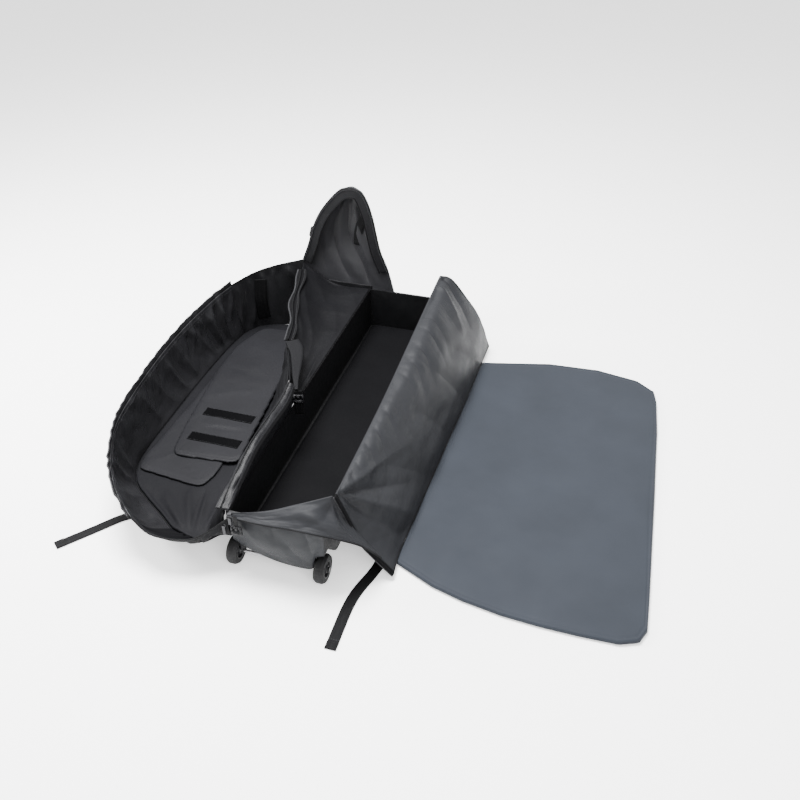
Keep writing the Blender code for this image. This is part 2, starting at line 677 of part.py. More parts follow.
def build_end_panels(looks):
    """The outer cloth over the two ends of the tray."""
    near = -HALF_LENGTH - TOUCH_GAP - END_PANEL_THICKNESS / 2
    edges = []
    for shares, bulge in NEAR_PANEL_SHARES:
        curve = []
        for across, height in shares:
            swell = bulge * END_PANEL_BULGE * (1 - across * across)
            curve.append((across * HALF_WIDTH, near - max(swell, 0.0), height * TRAY_TOP))
        edges.append(curve)
    make_sheet("near_end_panel", edges, 16, 6, END_PANEL_THICKNESS, looks["outer"])
    far = HALF_LENGTH + TOUCH_GAP + END_PANEL_THICKNESS / 2
    far_edges = []
    for height, bulge in FAR_PANEL_HEIGHT_SHARES:
        curve = []
        for across in FAR_PANEL_ACROSS_SHARES:
            swell = bulge * END_PANEL_BULGE * (1 - across * across)
            curve.append((across * HALF_WIDTH, far + swell, height * TRAY_TOP))
        far_edges.append(curve)
    make_sheet("far_end_panel", far_edges, 10, 6, END_PANEL_THICKNESS, looks["outer"])


def hinge_x(along):
    """The left hinge line's place across the bag, at a place along it."""
    near, far = (side_point(shares) for shares in SHELL_HINGE_SHARES)
    share = (along - near.y) / (far.y - near.y)
    return near.x + (far.x - near.x) * share


def shell_outline():
    """The left shell's floor, drawn in from the gusset's crease and the two webs."""
    edge = smooth_curve([side_point(shares[:2]) for shares in NEAR_WEB_LOW_SHARES[2:0:-1]], 4)
    edge += smooth_curve([side_point(shares) for shares in CREASE_SHARES], 32)
    edge += smooth_curve([side_point(shares[:2]) for shares in FAR_WEB_LOW_SHARES[:3]], 8)
    edge.append(side_point(FLOOR_END_SHARES))
    outline = []
    for index, point in enumerate(edge):
        ahead = edge[min(index + 1, len(edge) - 1)] - edge[max(index - 1, 0)]
        inward = Vector((ahead.y, -ahead.x, 0)).normalized()
        outline.append(point + inward * FLOOR_INSET)
    for end in (0, -1):
        outline[end].x = hinge_x(outline[end].y)
    return outline


def build_left_shell(looks, pivot):
    """The side cover that lies open on the floor: padded floor, gusset and zip rim."""
    outline = shell_outline()
    make_plate("shell_floor", outline, CLOTH_BASE, SHELL_FLOOR_THICKNESS, looks["lining"], pivot)
    low = CLOTH_BASE + GUSSET_CLOTH / 2
    crease = [side_point(shares, low) for shares in CREASE_SHARES]
    rim = [gusset_point(shares) for shares in RIM_SHARES]
    belly = []
    for bottom, top in zip(crease, rim):
        middle = bottom.lerp(top, GUSSET_BELLY_HEIGHT_SHARE)
        outward = Vector((top.x - bottom.x, top.y - bottom.y, 0))
        belly.append(middle + outward * GUSSET_BELLY_SHARE)
    make_sheet("shell_gusset", (crease, belly, rim), 32, 6, GUSSET_CLOTH, looks["lining"], pivot)
    tape_low = []
    tape_high = []
    for bottom, top in zip(belly, rim):
        up = (top - bottom).normalized()
        tape_low.append(top + up * (2 * TOUCH_GAP))
        tape_high.append(top + up * (2 * TOUCH_GAP + RIM_TAPE_HEIGHT))
    make_sheet("shell_zip_tape", (tape_low, tape_high), 32, 1, RIM_TAPE_THICKNESS, looks["tape"], pivot)
    lower = rounded_outline([side_point(shares) for shares in LOWER_FLAP_SHARES], FLAP_CORNER_RADIUS)
    lower_base = HINGE_HEIGHT + TOUCH_GAP
    make_plate("flap_lower", lower, lower_base, FLAP_THICKNESS, looks["flap"], pivot)


def rounded_outline(corners, radius, steps=4):
    """A closed outline whose corners are rounded by an arc-like curve."""
    result = []
    count = len(corners)
    for index in range(count):
        corner = corners[index]
        before = corners[index - 1] - corner
        after = corners[(index + 1) % count] - corner
        reach = min(radius, before.length * CORNER_REACH_SHARE, after.length * CORNER_REACH_SHARE)
        start = corner + before.normalized() * reach
        end = corner + after.normalized() * reach
        for step in range(steps + 1):
            share = step / steps
            result.append(start.lerp(corner, share).lerp(corner.lerp(end, share), share))
    return result


def build_upper_flap(looks, pivot):
    """The upper padded flap, with its two hook strips."""
    outline = rounded_outline([side_point(shares) for shares in UPPER_FLAP_SHARES], FLAP_CORNER_RADIUS)
    make_plate("flap_upper", outline, UPPER_FLAP_BASE, FLAP_THICKNESS, looks["flap"], pivot)
    strip_base = UPPER_FLAP_BASE + FLAP_THICKNESS + TOUCH_GAP
    for name, shares in zip(("near", "far"), HOOK_STRIP_SHARES):
        middle = side_point(shares)
        half = Vector((HOOK_STRIP_LENGTH / 2, HOOK_STRIP_WIDTH / 2, 0))
        low = middle - half
        high = middle + half
        make_block(
            f"hook_strip_{name}", (low.x, low.y, strip_base),
            (high.x, high.y, strip_base + HOOK_STRIP_THICKNESS), looks["hook"], pivot)


def build_left_wall(looks):
    """The cloth between the tray's left wall, the zip edge and the open shell."""
    crest = [ridge_point(shares) for shares in RIDGE_SHARES]
    make_roll("left_edge_roll", crest, TRAY_TOP + TOUCH_GAP, looks["outer"])
    foot = TRAY_TOP + TOUCH_GAP + CLOTH / 2
    lining_low = []
    lining_mid = []
    lining_top = []
    for shares in EDGE_SHARES:
        top = ridge_point(shares)
        low = Vector((-HALF_WIDTH + TRAY_WALL / 2, top.y, foot))
        sag = Vector((0, 0, -LINING_SAG))
        lining_low.append(low)
        lining_mid.append(low.lerp(top, 0.5) + sag * (-top.x / SIDE_REACH))
        lining_top.append(top)
    make_sheet("left_lining", (lining_low, lining_mid, lining_top), 18, 6, CLOTH, looks["lining"])


def make_roll(name, crest, foot, material, steps=16, sides=12):
    """A padded oval edge that stands on a foot height and rises to its crest."""
    mesh = bpy.data.meshes.new(name)
    shape = bmesh.new()
    rings = []
    for point in smooth_curve(crest, steps):
        half = (point.z - foot) * ROLL_ROUND_SHARE
        middle = point.z - half
        ring = []
        for step in range(sides):
            angle = 2 * math.pi * step / sides
            across = point.x + ROLL_RADIUS * math.cos(angle)
            height = max(middle + half * math.sin(angle), foot)
            ring.append(shape.verts.new((across, point.y, height)))
        rings.append(ring)
    for first, second in zip(rings, rings[1:]):
        for step in range(sides):
            after = (step + 1) % sides
            shape.faces.new((first[step], first[after], second[after], second[step]))
    shape.faces.new(list(reversed(rings[0])))
    shape.faces.new(rings[-1])
    bmesh.ops.recalc_face_normals(shape, faces=shape.faces)
    shape.to_mesh(mesh)
    shape.free()
    return add_piece(name, mesh, material)


def web_edge(top, bottom, swell):
    """The middle of a slack web between two edges, pushed out by a swell."""
    return [start.lerp(end, 0.5) + swell for start, end in zip(top, bottom)]


def build_left_webs(looks):
    """The slack cloth that joins the shell to the tray, the near end and the far end."""
    near_low = [gusset_point(shares) for shares in NEAR_WEB_LOW_SHARES]
    near_high = [gusset_point(shares) for shares in NEAR_WEB_HIGH_SHARES]
    near_mid = web_edge(near_high, near_low, Vector((0, -NEAR_WEB_SWELL, 0)))
    make_sheet("near_gusset_web", (near_low, near_mid, near_high), 12, 5, CLOTH, looks["lining"])
    far_low = [gusset_point(shares) for shares in FAR_WEB_LOW_SHARES]
    far_high = [gusset_point(shares) for shares in FAR_WEB_HIGH_SHARES]
    far_mid = web_edge(far_high, far_low, Vector((0, 0, 0)))
    make_sheet("far_gusset_web", (far_low, far_mid, far_high), 12, 5, CLOTH, looks["lining"])
    top = [ridge_point(shares) for shares in DRAPE_TOP_SHARES]
    low = [Vector((hinge_x(point.y) + FOLD_GAP, point.y, CLOTH_BASE + CLOTH / 2)) for point in top]
    mid = web_edge(top, low, Vector((0, 0, -DRAPE_SAG)))
    make_sheet("left_fold_web", (low, mid, top), 20, 6, CLOTH, looks["lining"])


def peak_place():
    """The peak's plane, just beyond the tray's far end."""
    return HALF_LENGTH + TOUCH_GAP + PEAK_THICKNESS / 2


def peak_edge(across_share):
    """The peak's middle surface from foot to top, at a share across it."""
    plane = peak_place()
    swell = 4 * across_share * (1 - across_share) * PEAK_BULGE
    points = []
    for left, right, part in zip(PEAK_LEFT_SHARES, PEAK_RIGHT_SHARES, PEAK_SWELL_SHARES):
        point = peak_point(left, plane).lerp(peak_point(right, plane), across_share)
        points.append(point + Vector((0, swell * part, 0)))
    return points


def build_peak(looks):
    """The far end of the side cover, which still stands up, with its zip edge."""
    left = peak_edge(0.0)
    right = peak_edge(1.0)
    edges = [peak_edge(share) for share in PEAK_COLUMN_SHARES]
    make_sheet("peak_panel", edges, 14, 8, PEAK_THICKNESS, looks["lining"])
    foot_z = left[0].z - TOUCH_GAP
    skirt_plane = HALF_LENGTH + TOUCH_GAP + CLOTH / 2
    skirt_low = []
    skirt_high = []
    for share in (0.0, 0.5, 1.0):
        across = left[0].x + (-HALF_WIDTH * SKIRT_END_SHARE - left[0].x) * share
        skirt_low.append(Vector((across, skirt_plane, FLOOR_GAP)))
        skirt_high.append(Vector((across, skirt_plane, foot_z)))
    make_sheet("peak_skirt", (skirt_low, skirt_high), 6, 3, CLOTH, looks["lining"])
    outline = smooth_curve([*left[1:], *reversed(right[1:])], PEAK_TAPE_STEPS)
    front = Vector((0, -PEAK_THICKNESS / 2 - TAPE / 2 - TOUCH_GAP, 0))
    middle = len(left) // 2
    centre = (left[middle] + right[middle]) / 2
    rows = []
    for index, point in enumerate(outline):
        ahead = outline[min(index + 1, PEAK_TAPE_STEPS)] - outline[max(index - 1, 0)]
        inward = ahead.cross(Vector((0, 1, 0))).normalized()
        if inward.dot(centre - point) < 0:
            inward.negate()
        rows.append([point + front, point + front + inward * TAPE_WIDTH])
    tape = add_piece("peak_zip_tape", grid_mesh("peak_zip_tape", rows), looks["tape"])
    wall = tape.modifiers.new("cloth", "SOLIDIFY")
    wall.thickness = TAPE
    wall.offset = 0.0


def build_inner_zip(looks):
    """The fixed half of the zip along the cloth wall, its end pouch and buckle."""
    path = [ridge_point(shares) for shares in BAND_SHARES]
    make_ribbon("inner_zip_band", path, BAND_TURN_SHARES, TAPE_WIDTH, TAPE * 2, 16, looks["tape"])
    pouch = [ridge_point(shares) for shares in POUCH_SHARES]
    make_ribbon(
        "zip_end_pouch", pouch, POUCH_TURN_SHARES, POUCH_WIDTH, POUCH_THICKNESS, 12, looks["tape"],
        width_shares=POUCH_WIDTH_SHARES)
    top = ridge_point(EDGE_WEBBING_SHARES)
    turn = Vector(EDGE_WEBBING_TURN_SHARES).normalized()
    low = top - Vector((0, 0, EDGE_WEBBING_LENGTH))
    make_ribbon(
        "edge_webbing", (top, low), (turn, turn), EDGE_WEBBING_WIDTH, WEBBING, 4, looks["webbing"])
    facing = Vector((turn.y, -turn.x, 0))
    middle = top + facing * (WEBBING / 2 + TOUCH_GAP + EDGE_BUCKLE_SIZE[2] / 2)
    middle.z -= EDGE_BUCKLE_DROP
    buckle = [middle + Vector((0, 0, side * EDGE_BUCKLE_SIZE[1] / 2)) for side in (1, -1)]
    make_ribbon(
        "edge_buckle", buckle, (turn, turn), EDGE_BUCKLE_SIZE[0], EDGE_BUCKLE_SIZE[2], 2,
        looks["buckle"])


def panel_hinge():
    """The two ends of the line that the right panel folds about, on its upper edge."""
    ends = (PANEL_STATION_SHARES[0], PANEL_STATION_SHARES[-1])
    return [hump_point(shares[0], along) for along, _, shares in ends]


def build_right_side(looks, pivot):
    """The cloth band on the tray's right wall and the cover panel folded over it."""
    low = []
    high = []
    for along, _, shares in PANEL_STATION_SHARES:
        edge = hump_point(shares[0], along)
        low.append(Vector((HALF_WIDTH - TRAY_WALL / 2, edge.y, TRAY_TOP + TOUCH_GAP)))
        high.append(edge - Vector((BAND_GAP, 0, CLEAR_GAP)))
    make_sheet("right_wall_band", (low, high), 18, 2, CLOTH, looks["lining"])
    columns = [[] for _ in range(5)]
    last = len(columns) - 1
    for start, end, shares in PANEL_STATION_SHARES:
        for index, point in enumerate(shares):
            columns[index].append(hump_point(point, start + (end - start) * index / last))
    make_sheet("right_panel", columns, 26, 12, GUSSET_CLOTH, looks["panel"], pivot)


def build_near_flap(looks):
    """The slack corner cloth between the near end panel and the right panel."""
    edges = []
    for shares in (NEAR_FLAP_TOP_SHARES, NEAR_FLAP_LOW_SHARES):
        edges.append([
            Vector((across * HALF_WIDTH, along * HALF_LENGTH, height * RIDGE_HEIGHT))
            for across, along, height in shares])
    middle = web_edge(edges[0], edges[1], Vector((0, -NEAR_FLAP_SWELL, 0)))
    make_sheet("near_corner_flap", (edges[0], middle, edges[1]), 14, 5, CLOTH, looks["panel"])


def build_pad(looks, pivot):
    """The loose padded panel that lies on the floor beside the bag."""
    inner = [pad_point(shares) for shares in PAD_HINGE_SHARES]
    outline = [inner[0], *[pad_point(shares) for shares in PAD_OUTLINE_SHARES], inner[1]]
    make_plate("side_pad", outline, FLOOR_GAP, PAD_THICKNESS, looks["pad"], pivot, edge=PAD_EDGE)


def strap_path(shares, side):
    """A strap's route: down the tray's wall, round to the floor, then flat along it."""
    floor = FLOOR_GAP + WEBBING / 2
    wall = side * (HALF_WIDTH + TOUCH_GAP + WEBBING / 2)
    along = shares[0][1] * HALF_LENGTH
    corner = Vector((wall, along, floor))
    above = Vector((wall, along, STRAP_ROOT_HEIGHT / 2))
    ground = smooth_curve([side_point(pair, floor) for pair in shares[1:]], 24)
    path = [Vector((wall, along, STRAP_ROOT_HEIGHT)), above]
    for step in (1, 2, 3):
        share = step / 4
        path.append(above.lerp(corner, share).lerp(corner.lerp(ground[0], share), share))
    return path + ground


def strap_turns(path):
    """The width direction at each point of a strap, level and across its run."""
    turns = []
    for index in range(len(path)):
        ahead = path[min(index + 1, len(path) - 1)] - path[max(index - 1, 0)]
        turn = Vector((-ahead.y, ahead.x, 0))
        if turn.length < WEBBING:
            turn = Vector((0, 1, 0))
        turn.normalize()
        if turns and turn.dot(turns[-1]) < 0:
            turn.negate()
        turns.append(turn)
    return turns


def build_straps(looks):
    """The two compression straps that trail from the tray over the floor."""
    for name, shares, side in (("left", LEFT_STRAP_SHARES, -1), ("right", RIGHT_STRAP_SHARES, 1)):
        path = strap_path(shares, side)
        make_ribbon(
            f"{name}_strap", path, strap_turns(path), STRAP_WIDTH, WEBBING, 40, looks["webbing"])


def build_slider(name, shares, looks):
    """A zip slider with its puller hanging from it, on the puller's pivot."""
    middle = ridge_point(shares)
    half = Vector((SLIDER_SIZE, SLIDER_SIZE, SLIDER_SIZE)) / 2
    make_block(f"zip_slider_{name}", middle - half, middle + half, looks["zinc"], edge=BUCKLE_EDGE)
    front = middle.y - half.y - TOUCH_GAP
    top = Vector((middle.x, front, middle.z))
    pivot = make_pivot(f"zip_puller_{name}_pivot", top)
    low = (top.x - PULLER_WIDTH / 2, front - PULLER_THICKNESS, top.z - PULLER_LENGTH)
    high = (top.x + PULLER_WIDTH / 2, front, top.z)
    make_block(f"zip_puller_{name}", low, high, looks["zinc"], pivot)


def build_corner(looks):
    """The zip sliders and the buckle that hangs from the near left corner."""
    build_slider("ridge", SLIDER_RIDGE_SHARES, looks)
    build_slider("rim", SLIDER_RIM_SHARES, looks)
    top = ridge_point(CORNER_BUCKLE_SHARES)
    pivot = make_pivot("corner_buckle_pivot", top)
    low = Vector((top.x - CORNER_WEBBING_WIDTH / 2, top.y - WEBBING, top.z - CORNER_WEBBING_LENGTH))
    high = Vector((top.x + CORNER_WEBBING_WIDTH / 2, top.y, top.z))
    make_block("corner_buckle_webbing", low, high, looks["webbing"], pivot)
    buckle_high = Vector((
        top.x + BUCKLE_WIDTH / 2, top.y + (BUCKLE_THICKNESS - WEBBING) / 2, low.z - TOUCH_GAP))
    buckle_low = buckle_high - Vector((BUCKLE_WIDTH, BUCKLE_THICKNESS, BUCKLE_LENGTH))
    make_block("corner_buckle", buckle_low, buckle_high, looks["buckle"], pivot, edge=BUCKLE_EDGE)


def build_far_straps(looks):
    """The strap on the peak's inner face and the strap in the far left corner."""
    lift = Vector((0, (PEAK_THICKNESS + WEBBING) / 2 + CLEAR_GAP + TOUCH_GAP, 0))
    left = []
    right = []
    for first, second, row in PEAK_STRAP_SHARES:
        left.append(smooth_curve(peak_edge(first), PEAK_ROWS)[round(row * PEAK_ROWS)] - lift)
        right.append(smooth_curve(peak_edge(second), PEAK_ROWS)[round(row * PEAK_ROWS)] - lift)
    make_sheet("peak_inner_strap", (left, right), 8, 2, WEBBING, looks["webbing"])
    left = [gusset_point(shares) for shares in FAR_STRAP_LEFT_SHARES]
    right = [gusset_point(shares) for shares in FAR_STRAP_RIGHT_SHARES]
    make_sheet("far_corner_strap", (left, right), 8, 2, WEBBING, looks["webbing"])


def build_peak_loop(looks):
    """The strap that hangs behind the peak's left edge, with its buckle."""
    path = []
    for across, swell, height in PEAK_LOOP_SHARES:
        along = peak_place() + swell * PEAK_BULGE
        path.append(Vector((side_across(across), along, peak_height(height))))
    pivot = make_pivot("peak_buckle_pivot", path[0])
    make_ribbon(
        "peak_buckle_webbing", path, PEAK_LOOP_TURN_SHARES, PEAK_LOOP_WIDTH, WEBBING, 10,
        looks["webbing"], pivot=pivot)
    ahead = (path[-1] - path[-2]).normalized()
    top = path[-1] + ahead * TOUCH_GAP
    turn = Vector(PEAK_LOOP_TURN_SHARES[-1])
    make_ribbon(
        "peak_buckle", (top, top + ahead * BUCKLE_LENGTH), (turn, turn), BUCKLE_WIDTH,
        BUCKLE_THICKNESS, 2, looks["buckle"], pivot=pivot)


def build_right_tape(looks, pivot):
    """The rolled zip edge along the right panel's near end."""
    start, _, shares = PANEL_STATION_SHARES[0]
    back = [hump_point(point, start) - Vector((0, CLEAR_GAP, 0)) for point in shares]
    front = [point - Vector((0, RIGHT_TAPE_WIDTH, 0)) for point in back]
    make_sheet("right_zip_tape", (back, front), 16, 1, RIGHT_TAPE_THICKNESS, looks["tape"], pivot)


def main():
    """Build the whole bag."""
    clear_scene()
    looks = build_materials()
    near, far = (side_point(shares, HINGE_HEIGHT) for shares in SHELL_HINGE_SHARES)
    shell_pivot = make_pivot("left_shell_pivot", (near + far) / 2)
    build_base(looks)
    build_wheels(looks)
    build_end_panels(looks)
    build_left_shell(looks, shell_pivot)
    flap_near, flap_far = (side_point(shares, UPPER_FLAP_BASE) for shares in FLAP_HINGE_SHARES)
    flap_pivot = make_pivot("flap_pivot", (flap_near + flap_far) / 2)
    build_upper_flap(looks, flap_pivot)
    build_left_wall(looks)
    build_left_webs(looks)
    build_peak(looks)
    build_inner_zip(looks)
    near, far = panel_hinge()
    panel_pivot = make_pivot("right_panel_pivot", (near + far) / 2)
    build_right_side(looks, panel_pivot)
    build_right_tape(looks, panel_pivot)
    build_near_flap(looks)
    build_straps(looks)
    build_corner(looks)
    build_far_straps(looks)
    build_peak_loop(looks)
    near, far = (pad_point(shares, FLOOR_GAP + PAD_THICKNESS) for shares in PAD_HINGE_SHARES)
    pad_pivot = make_pivot("side_pad_pivot", (near + far) / 2)
    build_pad(looks, pad_pivot)


main()
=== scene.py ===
"""Looks of the soft bike travel bag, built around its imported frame.

Frame: metres, +Z up, X across the bag, Y along it with the wheeled end at -Y.
The tables of places are in tenths of a millimetre.
"""

import math

import bmesh
import bpy
import numpy as np
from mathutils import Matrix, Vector, noise


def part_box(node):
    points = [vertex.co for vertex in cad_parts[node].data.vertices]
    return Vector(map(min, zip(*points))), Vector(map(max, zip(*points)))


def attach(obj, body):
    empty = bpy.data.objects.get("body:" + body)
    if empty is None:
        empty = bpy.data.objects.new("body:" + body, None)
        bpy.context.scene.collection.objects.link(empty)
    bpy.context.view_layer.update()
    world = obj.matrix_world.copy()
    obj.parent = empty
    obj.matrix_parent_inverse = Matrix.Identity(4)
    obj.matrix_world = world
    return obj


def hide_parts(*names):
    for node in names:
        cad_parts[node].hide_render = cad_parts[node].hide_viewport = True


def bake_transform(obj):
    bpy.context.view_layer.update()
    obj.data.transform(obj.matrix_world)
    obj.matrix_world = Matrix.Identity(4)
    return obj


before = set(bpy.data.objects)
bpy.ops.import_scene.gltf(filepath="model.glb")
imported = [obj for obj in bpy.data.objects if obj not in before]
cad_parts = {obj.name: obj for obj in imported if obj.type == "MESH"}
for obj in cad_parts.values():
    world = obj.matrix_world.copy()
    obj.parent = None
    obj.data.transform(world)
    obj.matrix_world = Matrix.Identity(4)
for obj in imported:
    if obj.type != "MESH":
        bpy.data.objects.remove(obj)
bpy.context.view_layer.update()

UP = np.array([0.0, 0.0, 1.0])
WHITE = (1.0, 1.0, 1.0, 1.0)


# Materials


class Nodes:
    """Short calls for one material's node tree."""

    def __init__(self, name):
        self.material = bpy.data.materials.new(name)
        self.material.use_nodes = True
        self.tree = self.material.node_tree
        self.shader = self.tree.nodes["Principled BSDF"]

    def add(self, kind, settings=(), **inputs):
        """A node, with its properties and its input values or links."""
        node = self.tree.nodes.new("ShaderNode" + kind)
        for key, value in dict(settings).items():
            setattr(node, key, value)
        self.feed(node, **inputs)
        return node

    def feed(self, node, **inputs):
        """Set inputs, by name or number, to values or linked sockets."""
        for key, value in inputs.items():
            socket = node.inputs[int(key) if key.isdigit() else key.replace("_", " ")]
            if isinstance(value, bpy.types.NodeSocket):
                self.tree.links.new(value, socket)
            else:
                socket.default_value = value

    def shade(self, **inputs):
        self.feed(self.shader, **inputs)

    def math(self, operation, first, second):
        return self.add("Math", {"operation": operation}, **{"0": first, "1": second}).outputs[0]

    def noise(self, vector, scale, detail=2.0, rough=0.5, kind="FBM"):
        node = self.add("TexNoise", {"noise_type": kind}, Vector=vector, Scale=scale, Detail=detail,
                        Roughness=rough)
        return node.outputs["Fac"]

    def wave(self, vector, pitch, direction):
        """Threads or ribs at an even pitch in metres, as a height from 0 to 1."""
        node = self.add("TexWave", {"bands_direction": direction}, Vector=vector,
                        Scale=math.pi / 10 / pitch)
        return node.outputs["Fac"]

    def spread(self, value, low, high):
        node = self.add("MapRange", Value=value, From_Min=0.3, From_Max=0.7, To_Min=low, To_Max=high)
        return node.outputs["Result"]

    def bump(self, height, distance, normal=None):
        node = self.add("Bump", Height=height, Distance=distance, Strength=1.0)
        if normal is not None:
            self.feed(node, Normal=normal)
        return node.outputs["Normal"]

    def dye(self, vector, colour, vary, scale):
        """The base colour, a little lighter and darker from place to place."""
        broad = self.spread(self.noise(vector, scale, 3.0), -vary, vary)
        fine = self.spread(self.noise(vector, 700.0, 1.0), -0.05, 0.05)
        value = self.math("ADD", self.math("ADD", broad, fine), 1.0)
        node = self.add("HueSaturation", Color=(*colour, 1.0), Value=value)
        self.shade(Base_Color=node.outputs["Color"])


def fabric(name, colour, rough, gloss, creases, crease_scale=9.0, pitch=0.0009, weave=0.0001,
           crinkle=0.001, vary=0.1, sheen=0.0, ribs=0.0):
    """Woven cloth: threads, sharp creases, small crinkles, uneven dye and coating."""
    made = Nodes(name)
    place = made.add("TexCoord").outputs["UV"]
    threads = made.math("MULTIPLY", made.wave(place, pitch, "X"), made.wave(place, pitch, "Y"))
    normal = made.bump(threads, weave)
    if ribs:
        normal = made.bump(made.wave(place, ribs, "X"), ribs * 0.25, normal)
    if crinkle:
        normal = made.bump(made.noise(place, 30.0, 4.0, 0.6), crinkle, normal)
    if creases:
        bent = made.add("VectorMath", {"operation": "MULTIPLY"}, **{"0": place, "1": (1.0, 0.6, 1.0)})
        ridges = made.noise(bent.outputs[0], crease_scale, 3.0, 0.5, "RIDGED_MULTIFRACTAL")
        normal = made.bump(ridges, creases, normal)
    made.dye(place, colour, vary, 5.0)
    coat = made.noise(place, 14.0, 3.0)
    made.shade(Roughness=made.spread(coat, rough - 0.06, rough + 0.06), Normal=normal,
               Specular_IOR_Level=gloss, Sheen_Weight=sheen, Sheen_Roughness=0.4)
    return made.material


def moulded(name, colour, rough, grain=0.0002, scale=900.0, metallic=0.0):
    """Moulded plastic, rubber or metal: fine grain, scuffs and uneven gloss."""
    made = Nodes(name)
    place = made.add("TexCoord").outputs["Object"]
    scuffs = made.noise(place, 60.0, 5.0, 0.7)
    normal = made.bump(scuffs, grain, made.bump(made.noise(place, scale, 2.0), grain * 0.7))
    made.dye(place, colour, 0.08, 18.0)
    made.shade(Roughness=made.spread(scuffs, rough - 0.08, rough + 0.1), Normal=normal,
               Metallic=metallic, Specular_IOR_Level=0.2)
    return made.material


# Cloth: slot, colour, roughness, gloss, depth and scale of its creases, and what else is its own
# Some looks that share a slot are one cloth, darker or lighter by place: painted shade and painted light, as
# their rows say.
CLOTHS = {
    # painted shade: the lining cloth darker where it hangs in shade, on the right wall band and the peak
    # skirt
    "lining": ("lining_cloth", (0.006, 0.006, 0.0068), 0.42, 0.09, 0.0035, 8.0, {}),
    "gusset": ("lining_cloth", (0.011, 0.011, 0.0122), 0.32, 0.3, 0.0024, 6.0, {}),
    "cushion": ("foam", (0.0026, 0.0026, 0.003), 0.6, 0.03, 0.001, 9.0, {}),
    # painted shade: the lining cloth darker on the slack webs
    "web": ("lining_cloth", (0.0045, 0.0045, 0.0051), 0.6, 0.04, 0.0022, 7.0, {}),
    # painted shade: the outer cloth darker on the ridge
    "ridge": ("outer_cloth", (0.007, 0.007, 0.008), 0.4, 0.13, 0.002, 9.0, {}),
    # painted shade: the lining cloth darkest on the left lining and its pocket
    "inner": ("lining_cloth", (0.0042, 0.0042, 0.0048), 0.46, 0.05, 0.002, 6.0, {}),
    # painted shade: the zip tape darkest on the inner zip band and the right zip edge
    "fold": ("zip_tape", (0.0032, 0.0032, 0.0036), 0.52, 0.035, 0.002, 10.0,
             {"pitch": 0.0008, "ribs": 0.004}),
    # painted shade: the lining cloth darker on the shell's floor
    "floor": ("lining_cloth", (0.006, 0.006, 0.007), 0.52, 0.045, 0.0015, 6.0, {}),
    "flap": ("flap_cloth", (0.0085, 0.0085, 0.0098), 0.5, 0.07, 0.0016, 5.0, {}),
    "panel": ("panel_cloth", (0.012, 0.0125, 0.0142), 0.5, 0.1, 0.0022, 5.0, {}),
    "outer": ("outer_cloth", (0.011, 0.0118, 0.0135), 0.42, 0.13, 0.0014, 5.0, {}),
    # painted light: the lining cloth lightest on the lit peak
    "peak": ("lining_cloth", (0.015, 0.015, 0.0168), 0.4, 0.24, 0.003, 8.0, {}),
    "pad": ("pad_cloth", (0.0165, 0.0192, 0.0245), 0.6, 0.08, 0.0006, 3.0,
            {"pitch": 0.0012, "crinkle": 0.0003, "vary": 0.08, "sheen": 0.1}),
    "tape": ("zip_tape", (0.006, 0.006, 0.0066), 0.55, 0.08, 0.0008, 16.0, {"pitch": 0.0008}),
    "band": ("zip_tape", (0.008, 0.008, 0.009), 0.5, 0.1, 0.0015, 14.0, {"pitch": 0.0008, "ribs": 0.004}),
    "binding": ("zip_tape", (0.0045, 0.0045, 0.005), 0.55, 0.08, 0.0, 9.0, {"ribs": 0.0022}),
    "webbing": ("webbing", (0.005, 0.005, 0.0055), 0.55, 0.08, 0.0, 9.0,
                {"pitch": 0.0012, "weave": 0.0003, "ribs": 0.0026}),
    "hook": ("hook_strip", (0.0014, 0.0014, 0.0017), 0.85, 0.03, 0.0, 9.0,
             {"pitch": 0.0014, "weave": 0.0006, "crinkle": 0.0, "vary": 0.15}),
}
# Plastic, rubber, metal and thread: colour, roughness, and what else is its own
MOULDED = {
    "tray": ((0.004, 0.004, 0.0045), 0.45, {}),
    "rail": ((0.008, 0.008, 0.009), 0.48, {}),
    "rubber": ((0.006, 0.006, 0.0065), 0.66, {"grain": 0.0003}),
    "hub": ((0.008, 0.008, 0.009), 0.4, {}),
    "bush": ((0.035, 0.035, 0.035), 0.45, {}),
    "steel": ((0.32, 0.32, 0.33), 0.32, {"metallic": 1.0, "scale": 300.0}),
    "zinc": ((0.03, 0.03, 0.032), 0.34, {"metallic": 0.8}),
    "buckle": ((0.005, 0.005, 0.006), 0.34, {}),
    "teeth": ((0.02, 0.02, 0.022), 0.4, {}),
    "thread": ((0.02, 0.02, 0.022), 0.6, {}),
}
LOOKS = {}
for look, (slot, *facts, more) in CLOTHS.items():
    LOOKS[look] = fabric(look + "_look", *facts, **more)
for look, (*facts, more) in MOULDED.items():
    LOOKS[look] = moulded(look + "_look", *facts, **more)
PLY = 0.0028
WEBBING_THICK = 0.0017


# Curves and grids of points


def tenths(*rows):
    """Rows of places, or places, in metres from tenths of a millimetre."""
    return [np.array(row) / 1e4 for row in rows]


def curve(points, steps):
    """The smooth curve through the points, as steps + 1 even points."""
    p = np.array(points, float)
    if len(p) == 2:
        return p[0] + (p[1] - p[0]) * np.linspace(0, 1, steps + 1)[:, None]
    q = np.vstack([2 * p[0] - p[1], p, 2 * p[-1] - p[-2]])
    s = (np.arange(16) / 16)[:, None]
    fine = []
    for a, b, c, d in zip(q, q[1:], q[2:], q[3:]):
        fine.append(0.5 * (2 * b + (c - a) * s + (2 * a - 5 * b + 4 * c - d) * s * s
                           + (3 * b - a - 3 * c + d) * s ** 3))
    return even(np.vstack([*fine, p[-1:]]), steps)


def run_length(line):
    return np.linalg.norm(np.diff(line, axis=0), axis=1).sum()


def distances(line):
    """The distance along the line to each of its points."""
    return np.concatenate([[0], np.cumsum(np.linalg.norm(np.diff(line, axis=0), axis=1))])


